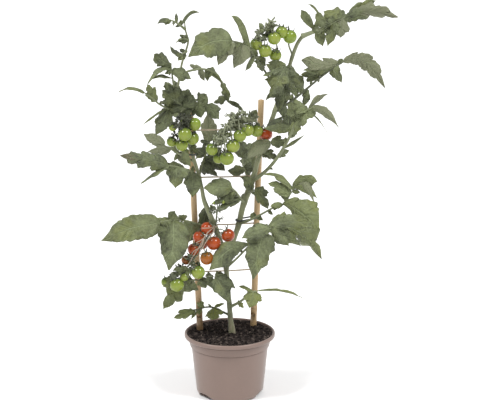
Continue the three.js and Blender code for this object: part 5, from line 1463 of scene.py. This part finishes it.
def add_leaflet(skin, base, leaflet, looks, under, leaf, rng, deep=1.0):
    """A leaflet. The rib is a parabola from base to tip, lifted at its middle by arch times its length. A row
    leaves it to each side, leaning to the tip. Its half width is width/2 times sin(pi s^belly)^0.72, less the
    notches and the teeth: along each lobe the edge climbs to the lobe's point at 0.8 of the way and falls
    back quickly. The blade drops from the rib to the edge, rises between its veins as a squared sine, rolls
    slowly and its edge waves."""
    _, tx, ty, tz, width, turn, arch, cut, *rest = leaflet
    belly = rest[0] if rest else 0.7
    tip = np.array([tx, ty, tz], float)
    long = np.linalg.norm(tip - base)
    lobes = int(np.clip(round(long / LOBE_LENGTH), 2, 4))
    s = np.linspace(0, 1, int(np.clip(long / 1.1, 18, 60)))
    half_columns = int(np.clip(width / 3.5, 3, 8))
    q = np.linspace(-1, 1, 2 * half_columns + 1)
    rib = parabola(base, (base + tip) / 2 + arch * long * UP, tip, s)
    sway = rng.uniform(-0.05, 0.05) * long * np.sin(np.pi * s) ** 2 * smooth_step(0, 0.3, s)
    on = slopes(rib)
    face = unit(FRONT - (on @ FRONT)[:, None] * on)
    angle = (np.radians(turn) + rng.uniform(-0.45, 0.45) * (s - 0.4))[:, None]
    face = face * np.cos(angle) + np.cross(on, face) * np.sin(angle)
    side = np.cross(on, face)
    rib = rib + sway[:, None] * side

    S, Q = np.meshgrid(s, q, indexing="ij")
    reach, hand = np.abs(Q), (Q > 0).astype(int)
    phase = lobes * S
    step = phase + rng.uniform(-0.22, 0.22, 2)[hand] * smooth_step(0, 0.25, S)
    which = np.clip(step.astype(int), 0, lobes + 1)
    f = np.mod(step, 1)
    climb = np.minimum((f / 0.8) ** 0.9, (1 - f) / 0.2)
    depth = np.clip(deep * leaf.cut * cut * rng.uniform(0.45, 1.5, (2, lobes + 2)), 0, 0.72)[hand, which]
    window = smooth_step(0.03, 0.16, S) * smooth_step(0.97, 0.72, S)
    saw = np.mod(rng.uniform(2.3, 3.2) * step + rng.random(), 1)
    teeth = leaf.teeth * (0.5 + 2.4 * cut) * np.minimum((1 - saw) / 0.75, saw / 0.25) * window
    taper = 1 - 0.5 * smooth_step(0.62, 0.97, S)
    notched = 1 - depth * (1 - climb) ** 1.3 * window
    half = 0.5 * width * np.sin(np.pi * S ** belly) ** 0.72 * notched * (1 - teeth) * taper
    half = np.maximum(1.04 * half, 0.55 * (1 - 0.75 * S))
    lean = BLADE_LEAN * long * np.sin(np.pi * S) + 0.16 * long / lobes * (f - 0.35) * depth / 0.3 * window
    flow = phase - 0.55 * reach * window
    pucker = leaf.pucker * width * np.sin(2 * np.pi * flow) ** 2 * 4 * reach * (1 - reach)
    roll = 0.05 * width * np.sin(2.2 * np.pi * S + rng.random() * 6.3 + rng.uniform(1, 3) * Q)
    curl = rng.uniform(-0.22, 0.12) * half * reach ** 3
    swing = np.sin(2 * np.pi * phase * 0.9 + rng.random() * 6.3 + 1.3 * np.sign(Q))
    wave = leaf.wave * half * swing * reach ** 2.5
    rise = -BLADE_FOLD * rng.uniform(0.7, 1.35) * half * reach ** 1.15 + pucker + curl + wave + roll * reach
    grid = (rib[:, None] + side[:, None] * (Q * half)[..., None] + face[:, None] * rise[..., None]
            + on[:, None] * (lean * reach ** 1.15)[..., None]) * MM
    normal = unit(np.cross(np.gradient(grid, axis=1), np.gradient(grid, axis=0)))
    normal = normal * np.sign(np.einsum("ijk,ik->ij", normal, face).mean())
    beam = 0.55 * MM * (1 - 0.8 * S) * np.exp(-(Q * half / 0.7) ** 2)
    thick = 0.5 * leaf.thickness
    top, bottom = grid + thick * normal, grid - (thick + beam)[..., None] * normal
    uv = np.stack([flow / 4, 0.5 + 0.5 * Q], -1)
    # shade is the leaf's tone, which for some leaves is painted light or shade
    shade, warm, brown = looks
    tones = np.stack([
        shade + rng.uniform(-0.16, 0.16) - 0.12 * reach ** 2,
        np.clip(warm + rng.uniform(-0.1, 0.15) + 0.3 * smooth_step(0.7, 1, S), 0, 1),
        0 * S, brown * smooth_step(0.58, 0.84, S + 0.12 * np.sin(9 * Q + 4 * phase)),
    ], -1).reshape(-1, 4)
    below = tones.copy()
    below[:, 2] = 1
    add_sheet(skin, top, bottom, [below, tones] if under else [tones, below], uv)


def add_small_leaflets(skin, points, spots, looks, leaf, rng):
    """The small leaflets that stand between a leaf's large ones, each a short way out from the stalk."""
    for at in spots:
        base = spline(points, np.array([at]))[0]
        ahead = spline(points, np.array([min(at + 0.03, 1)]))[0] - spline(points, np.array([at - 0.03]))[0]
        ahead = unit(ahead)
        out = unit(np.cross(ahead, FRONT)) * rng.choice([-1.0, 1.0])
        way = unit(out + 0.6 * ahead + rng.normal(0, 0.35, 3) - 0.25 * UP)
        size = rng.uniform(6, 13)
        leaflet = (at, *(base + size * way), size * rng.uniform(0.5, 0.75), rng.uniform(-25, 25), 0.1, 0.2)
        add_leaflet(skin, base, leaflet, looks, rng.random() < 0.2, leaf, rng)


class PLANT_OT_leaves(bpy.types.Operator):
    """The leaves: each a stalk with its lobed, veined and puckered leaflets"""

    bl_idname = "plant.leaves"
    bl_label = "Leaves"

    def execute(self, context):
        leaf, stem = context.scene.plant_leaf, context.scene.plant_stem
        blade = leaf_material(leaf)
        stalk = stalk_material("leaf stalk", (0.155, 0.175, 0.085))
        hair, _, shader = material("leaf hair", Roughness=0.7)
        shader.inputs["Base Color"].default_value = (*stem.hair, 1)
        for number, (name, points, leaflets) in enumerate(LEAVES):
            rng = np.random.default_rng(100 + number)
            skin = Skin()
            path = spline(points, np.linspace(0, 1, 8 * len(points)))
            flare = 1 + 0.35 * np.exp(-np.arange(len(path)) / 2.5)
            radius = np.linspace(STALK_ROOT, STALK_TIP, len(path)) * flare
            node, sprig = name.split("+")[0], "+" in name
            shade, factor = STALK_LOOKS.get(name, (0.0, 1.0))
            radius *= SPRIG_RADIUS if sprig else factor
            add_tube(skin, path * MM, radius * MM, 10, ridges=0.03, tone=(shade, 0, 0, 0), material=1)
            add_hairs(skin, path * MM, radius * MM, 12 * len(path), 0.7 * stem.hair_length, rng, 2)
            # the leaf's tone, which for some leaves is painted light or shade
            tone = LEAF_TONES_AND_PAINTED_LIGHT.get(name, (0.0, 0.0))
            for k, leaflet in enumerate(leaflets):
                base = spline(points, np.array([leaflet[0]]))[0]
                # the leaflet's own tone, painted light for two low leaflets
                own = LEAFLET_TONES_AND_PAINTED_LIGHT.get((name, k), (0.0, 0.0))
                looks = (tone[0] + own[0], tone[1] + own[1], BROWN_TIPS.get((name, k), 0.0))
                under, deep = k in UNDERSIDES.get(name, ()), DEEP_CUTS.get((name, k), 1.0)
                add_leaflet(skin, base, leaflet, looks, under, leaf, rng, deep)
            spots = rng.uniform(0.18, 0.92, 0 if sprig else leaf.small_leaflets)
            add_small_leaflets(skin, points, spots, (*tone, 0.0), leaf, rng)
            label = name.replace("leaf_", "foliage_").replace("+", "_")
            place(skin.make(label, [blade, stalk, hair]), "leaf_green", node)
        return {"FINISHED"}


# ---------------------------------------------------------------- fruit

TRUSS_RADIUS = 1.4
PEDICEL_RADIUS = 0.9
SEPALS = 6
SPENT_FLOWERS = {"truss_upper": 15, "truss_left": 26, "truss_center": 40, "truss_low": 20, "truss_young": 4}
# Tones of each truss's stalks and spent flowers: the paler ones are dry calyces, and truss_left's near-black
# tone is painted shade for the deep shade in that cluster.
TRUSS_TONES_AND_PAINTED_SHADE = {"truss_left": -1.0, "truss_low": 0.1, "truss_center": 0.5, "truss_upper": 0.35}
CALYX_SHADE = -0.35
# Each dry stalk is a list of marks.
DRY_MARKS = {"truss_low": [
    [(217.5, 226, -6), (211, 230, -30), (204.5, 237, -36), (199, 247, -38), (193, 257, -36), (189, 264, -30)],
    [(216.5, 227, -8), (210, 227.6, -30), (202, 228.2, -32)],
    [(208, 232, -34), (203, 239, -36), (196, 243, -34)],
    [(204, 238, -37), (201, 246, -42), (194, 251, -36), (191, 256, -32)],
    [(214, 226, -14), (213.5, 232, -30), (207, 241, -38), (201, 250, -38)],
]}
DRY_STALKS = {
    name: [[spot(*mark) for mark in line] for line in lines] for name, lines in DRY_MARKS.items()
}


def add_fruit(skin, centre, axis, radius, rng):
    """A small tomato: a ball with a dimple at the stalk, exp(-(angle/0.34)^2), and a slightly flat foot."""
    angle = np.linspace(0.07, np.pi - 0.07, 18)
    reach = radius * (1 - 0.10 * np.exp(-(angle / 0.34) ** 2) - 0.02 * np.exp(-((np.pi - angle) / 0.4) ** 2))
    third = unit(np.cross(axis, [0.3, 0.2, 0.9]))
    across = np.cross(third, axis)
    turn = 2 * np.pi * np.arange(28) / 28
    out = np.cos(turn)[:, None] * across + np.sin(turn)[:, None] * third
    grid = (centre + (reach * np.cos(angle))[:, None, None] * axis
            + (1.02 * reach * np.sin(angle))[:, None, None] * out[None])[::-1]
    # Painted shade round the top under the calyx, fading away from the stalk end.
    painted_top_shade = np.exp(-(angle / 1.25) ** 2)[::-1, None] * np.ones((1, 28))
    cheek = np.clip(out @ unit(np.array([0.2, -0.6, -0.75])), 0, 1)[None] * np.sin(angle)[::-1, None]
    tone = np.stack([painted_top_shade, cheek * rng.uniform(0.5, 1.1), 0 * cheek, 1 + 0 * cheek], -1)
    add_rings(skin, grid, centre - 0.98 * radius * axis, centre + 0.9 * radius * axis, tone=tone)


def add_calyx(skin, centre, axis, radius, size, shade, rng, count=SEPALS, curl=4.4):
    """Narrow sepals from the top of a fruit: each lies along the shoulder, then curls up and over, its
    direction turning with the square of the way along it by up to curl, in radians."""
    third = unit(np.cross(axis, [0.3, 0.2, 0.9]))
    across = np.cross(third, axis)
    s = np.linspace(0, 1, 11)
    for k in range(count):
        step = size * rng.uniform(0.75, 1.15) / 10
        angle = 2 * np.pi * (k + rng.uniform(-0.3, 0.3)) / count
        out = np.cos(angle) * across + np.sin(angle) * third
        side = np.cross(axis, out)
        bend = (rng.uniform(-0.6, -0.1) + rng.uniform(0.4 * curl, curl) * s ** 2)[:, None]
        sway = (rng.uniform(-1.1, 1.1) * s)[:, None]
        along = np.cos(bend) * (np.cos(sway) * out + np.sin(sway) * side) + np.sin(bend) * axis
        start = centre + 0.93 * radius * axis + 0.8 * MM * out
        rib = start + np.concatenate([np.zeros((1, 3)), np.cumsum(along[:-1] * step, 0)])
        up = unit(axis - (along @ axis)[:, None] * along + 0.02 * out)
        wide = np.cross(along, up)
        half = 1.35 * MM * np.sin(np.pi * (0.12 + 0.86 * s) ** 0.8) ** 0.8 * min(1, size / (9 * MM))
        half = half + 0.08 * MM
        q = np.array([-1.0, 0.0, 1.0])
        grid = (rib[:, None] + (q * half[:, None])[..., None] * wide[:, None]
                + (0.3 * half[:, None] * np.abs(q))[..., None] * up[:, None])
        add_sheet_either(skin, grid, up, 0.16 * MM, shade + rng.uniform(-0.15, 0.15))


def add_spent_flowers(skin, path, count, size, shade, rng, fruits):
    """Small stalks along a truss that end in an open calyx, none of them in front of an orange fruit."""
    _, across, third = square_axes(path)
    for _ in range(count):
        i = rng.integers(int(0.25 * len(path)), len(path) - 1)
        turn = rng.random() * 2 * np.pi
        way = unit(np.cos(turn) * across[i] + np.sin(turn) * third[i] + 0.45 * UP + 0.4 * rng.normal(0, 1, 3))
        reach = rng.uniform(4, 11) * MM
        end = path[i] + reach * way
        if any(np.hypot(*(end - spot)[[0, 2]]) < room for spot, room in fruits):
            continue
        bend = path[i] + 0.5 * reach * unit(way + 0.7 * UP)
        stalk = parabola(path[i], bend, end, np.linspace(0, 1, 7))
        add_tube(skin, stalk, 0.5 * MM, 6, tone=(shade, 0, 0, 0))
        add_calyx(skin, end, unit(end - bend), 1 * MM, size * rng.uniform(0.6, 1.1), shade, rng, 5, 8.5)


def add_sheet_either(skin, grid, up, thick, shade):
    """A narrow blade about its middle grid, with its top on the side of up."""
    normal = unit(np.cross(np.gradient(grid, axis=1), np.gradient(grid, axis=0)))
    sign = np.sign(np.einsum("ijk,ik->ij", normal, up).mean())
    top, bottom = grid + sign * thick * normal, grid - sign * thick * normal
    if sign < 0:
        top, bottom = bottom, top
    tones = np.broadcast_to([shade, 0.0, 0.0, 0.0], (grid.shape[0] * grid.shape[1], 4))
    add_sheet(skin, top, bottom, [tones, tones], np.zeros((*grid.shape[:2], 2)))


def fruit_axis(centre, root):
    """The way a fruit's top points: up, over to where its stalk starts and a little to the front."""
    way = unit(root - centre)
    way[1] = max(way[1], -0.1)
    return unit(way + 0.9 * UP + [0.0, -0.55, 0.0])


class PLANT_OT_trusses(bpy.types.Operator):
    """The trusses: stalks, hairy curled calyces, and the green and ripe fruits"""

    bl_idname = "plant.trusses"
    bl_label = "Trusses"

    def execute(self, context):
        fruit, stem = context.scene.plant_fruit, context.scene.plant_stem
        # Each fruit material's third colour is the painted shade round its top, as under the calyx; its
        # fourth is the lighter cheek.
        skins = {
            "g": fruit_material("green fruit", tuple(fruit.green), (0.045, 0.085, 0.014), (0.36, 0.38, 0.08)),
            "r": fruit_material("red fruit", tuple(fruit.red), (0.15, 0.035, 0.01), (0.46, 0.115, 0.02)),
            "o": fruit_material("orange fruit", tuple(fruit.orange), (0.10, 0.075, 0.014),
                                (0.37, 0.105, 0.014)),
        }
        green = stalk_material("truss stalk", tuple(fruit.calyx))
        hair, _, shader = material("truss hair", Roughness=0.7)
        shader.inputs["Base Color"].default_value = (*stem.hair, 1)
        dry = mottled("dry stalk", (0.31, 0.235, 0.175), 0.3, 200.0, 0.2 * MM, Roughness=0.7)
        for number, (name, points, fruits) in enumerate(TRUSSES):
            rng = np.random.default_rng(300 + number)
            stalks, unripe, ripe = Skin(), Skin(), 0
            path = spline(points, np.linspace(0, 1, 10 * len(points))) * MM
            radius = np.linspace(TRUSS_RADIUS, PEDICEL_RADIUS, len(path)) * MM
            # the truss's tone, which is painted shade for truss_left
            shade = TRUSS_TONES_AND_PAINTED_SHADE.get(name, 0.0)
            add_tube(stalks, path, radius, 10, tone=(shade + 0.15, 0, 0, 0))
            add_hairs(stalks, path, radius, 14 * len(path), 0.8 * stem.hair_length, rng, 1)
            add_spent_flowers(stalks, path, SPENT_FLOWERS[name], 0.9 * fruit.sepal_length, shade, rng,
                              [(np.array([x, y, z]) * MM, (0.5 * diameter + 2) * MM)
                               for _, x, y, z, diameter, kind in fruits if kind == "o"])
            for dry_path in DRY_STALKS.get(name, ()):
                line = spline(dry_path, np.linspace(0, 1, 24)) * MM
                add_tube(stalks, line, 0.75 * MM, 8, material=2)
            for at, x, y, z, diameter, kind in fruits:
                centre, radius = np.array([x, y, z]) * MM, diameter * MM / 2
                root = spline(points, np.array([at]))[0] * MM
                axis = fruit_axis(centre, root)
                s = np.linspace(0, 1, 14)
                pedicel = parabola(root, centre + 1.6 * radius * axis, centre + 0.88 * radius * axis, s)
                knuckle = 1 + 0.5 * np.exp(-((s - 0.55) / 0.08) ** 2) + 0.3 * np.exp(-((s - 1) / 0.1) ** 2)
                add_tube(stalks, pedicel, PEDICEL_RADIUS * 0.85 * knuckle * MM, 8, tone=(shade, 0, 0, 0))
                size = fruit.sepal_length * np.clip((diameter / 19) ** 2.2, 0.4, 1.0)
                add_calyx(stalks, centre, axis, radius, size, min(shade, CALYX_SHADE), rng)
                if kind == "g":
                    add_fruit(unripe, centre, axis, radius, rng)
                else:
                    ripe += 1
                    one = Skin()
                    add_fruit(one, centre, axis, radius, rng)
                    label = "fruit_red" if kind == "r" else "fruit_orange"
                    place(one.make(f"tomato_{name[6:]}_{ripe}", [skins[kind]]), label, f"{name}_ripe_{ripe}")
            place(stalks.make(f"{name}_stalks", [green, hair, dry]), "stem_green", name)
            place(unripe.make(f"{name}_green_fruit", [skins["g"]]), "fruit_green", name)
        return {"FINISHED"}


# ---------------------------------------------------------------- floor, light and camera

CAMERA_PLACE = (31 * MM, -1948.3 * MM, 755.0 * MM)
CAMERA_TILT = np.radians(76.95)
CAMERA_LENS = 96.26
SENSOR_WIDTH = 36.0


def studio_lamp(name, azimuth, elevation, strength, spread):
    """A broad far lamp that shines on the plant from the given side."""
    lamp = bpy.data.lights.new(name, "SUN")
    lamp.energy = strength
    lamp.angle = np.radians(spread)
    made = bpy.data.objects.new(name, lamp)
    made.rotation_euler = (np.radians(90 - elevation), 0, np.radians(azimuth))
    bpy.context.scene.collection.objects.link(made)


class PLANT_OT_stage(bpy.types.Operator):
    """The pale floor, the light and the camera"""

    bl_idname = "plant.stage"
    bl_label = "Stage"

    def execute(self, context):
        stage = context.scene.plant_stage
        size = 40.0
        mesh = bpy.data.meshes.new("floor")
        corners = [(-size, -size, 0), (size, -size, 0), (size, size, 0), (-size, size, 0)]
        mesh.from_pydata(corners, [], [(0, 1, 2, 3)])
        floor = bpy.data.objects.new("floor", mesh)
        context.scene.collection.objects.link(floor)
        mesh.materials.append(mottled("floor", tuple(stage.floor), 0.004, 3.0, 0.05 * MM, Roughness=0.9))
        world = bpy.data.worlds.new("sky")
        world.use_nodes = True
        nodes = Nodes(world.node_tree)
        seen = nodes.add("ShaderNodeLightPath").outputs["Is Camera Ray"]
        strength = nodes.math("MULTIPLY_ADD", seen, stage.backdrop - stage.sky, stage.sky)
        shade = nodes.add("ShaderNodeBackground", {"Color": (1, 1, 1, 1), "Strength": strength})
        nodes.add("ShaderNodeOutputWorld", {"Surface": shade.outputs[0]})
        context.scene.world = world
        studio_lamp("lamp left", -58, 54, stage.lamp_strength, 15)
        studio_lamp("lamp right", 56, 52, stage.lamp_strength, 15)
        lens = bpy.data.cameras.new("camera")
        lens.lens = CAMERA_LENS
        lens.sensor_width = SENSOR_WIDTH
        camera = bpy.data.objects.new("camera", lens)
        camera.location = CAMERA_PLACE
        camera.rotation_euler = (CAMERA_TILT, 0, 0)
        context.scene.collection.objects.link(camera)
        context.scene.camera = camera
        context.scene.view_settings.view_transform = "Standard"
        return {"FINISHED"}


# ---------------------------------------------------------------- panel and run

OPERATORS = (PLANT_OT_pot, PLANT_OT_peat, PLANT_OT_ladder, PLANT_OT_stem, PLANT_OT_leaves, PLANT_OT_trusses,
             PLANT_OT_stage)


class PLANT_PT_panel(bpy.types.Panel):
    """Lists the plant's pieces and their settings"""

    bl_label = "Cherry tomato"
    bl_idname = "PLANT_PT_panel"
    bl_space_type = "VIEW_3D"
    bl_region_type = "UI"
    bl_category = "Plant"

    def draw(self, context):
        for key, group in SETTINGS.items():
            box = self.layout.box()
            box.label(text=group.__doc__.strip("."))
            for name in group.__annotations__:
                box.prop(getattr(context.scene, key), name)
        for operator in OPERATORS:
            self.layout.operator(operator.bl_idname)


def register():
    for group in (*SETTINGS.values(), *OPERATORS, PLANT_PT_panel):
        bpy.utils.register_class(group)
    for key, group in SETTINGS.items():
        setattr(bpy.types.Scene, key, PointerProperty(type=group))


def unregister():
    for key in SETTINGS:
        delattr(bpy.types.Scene, key)
    for group in reversed((*SETTINGS.values(), *OPERATORS, PLANT_PT_panel)):
        bpy.utils.unregister_class(group)


def main():
    """Registers the classes and builds every piece."""
    register()
    for operator in OPERATORS:
        getattr(bpy.ops.plant, operator.bl_idname.split(".")[1])()
    bpy.context.view_layer.update()


if __name__ == "__main__":
    main()
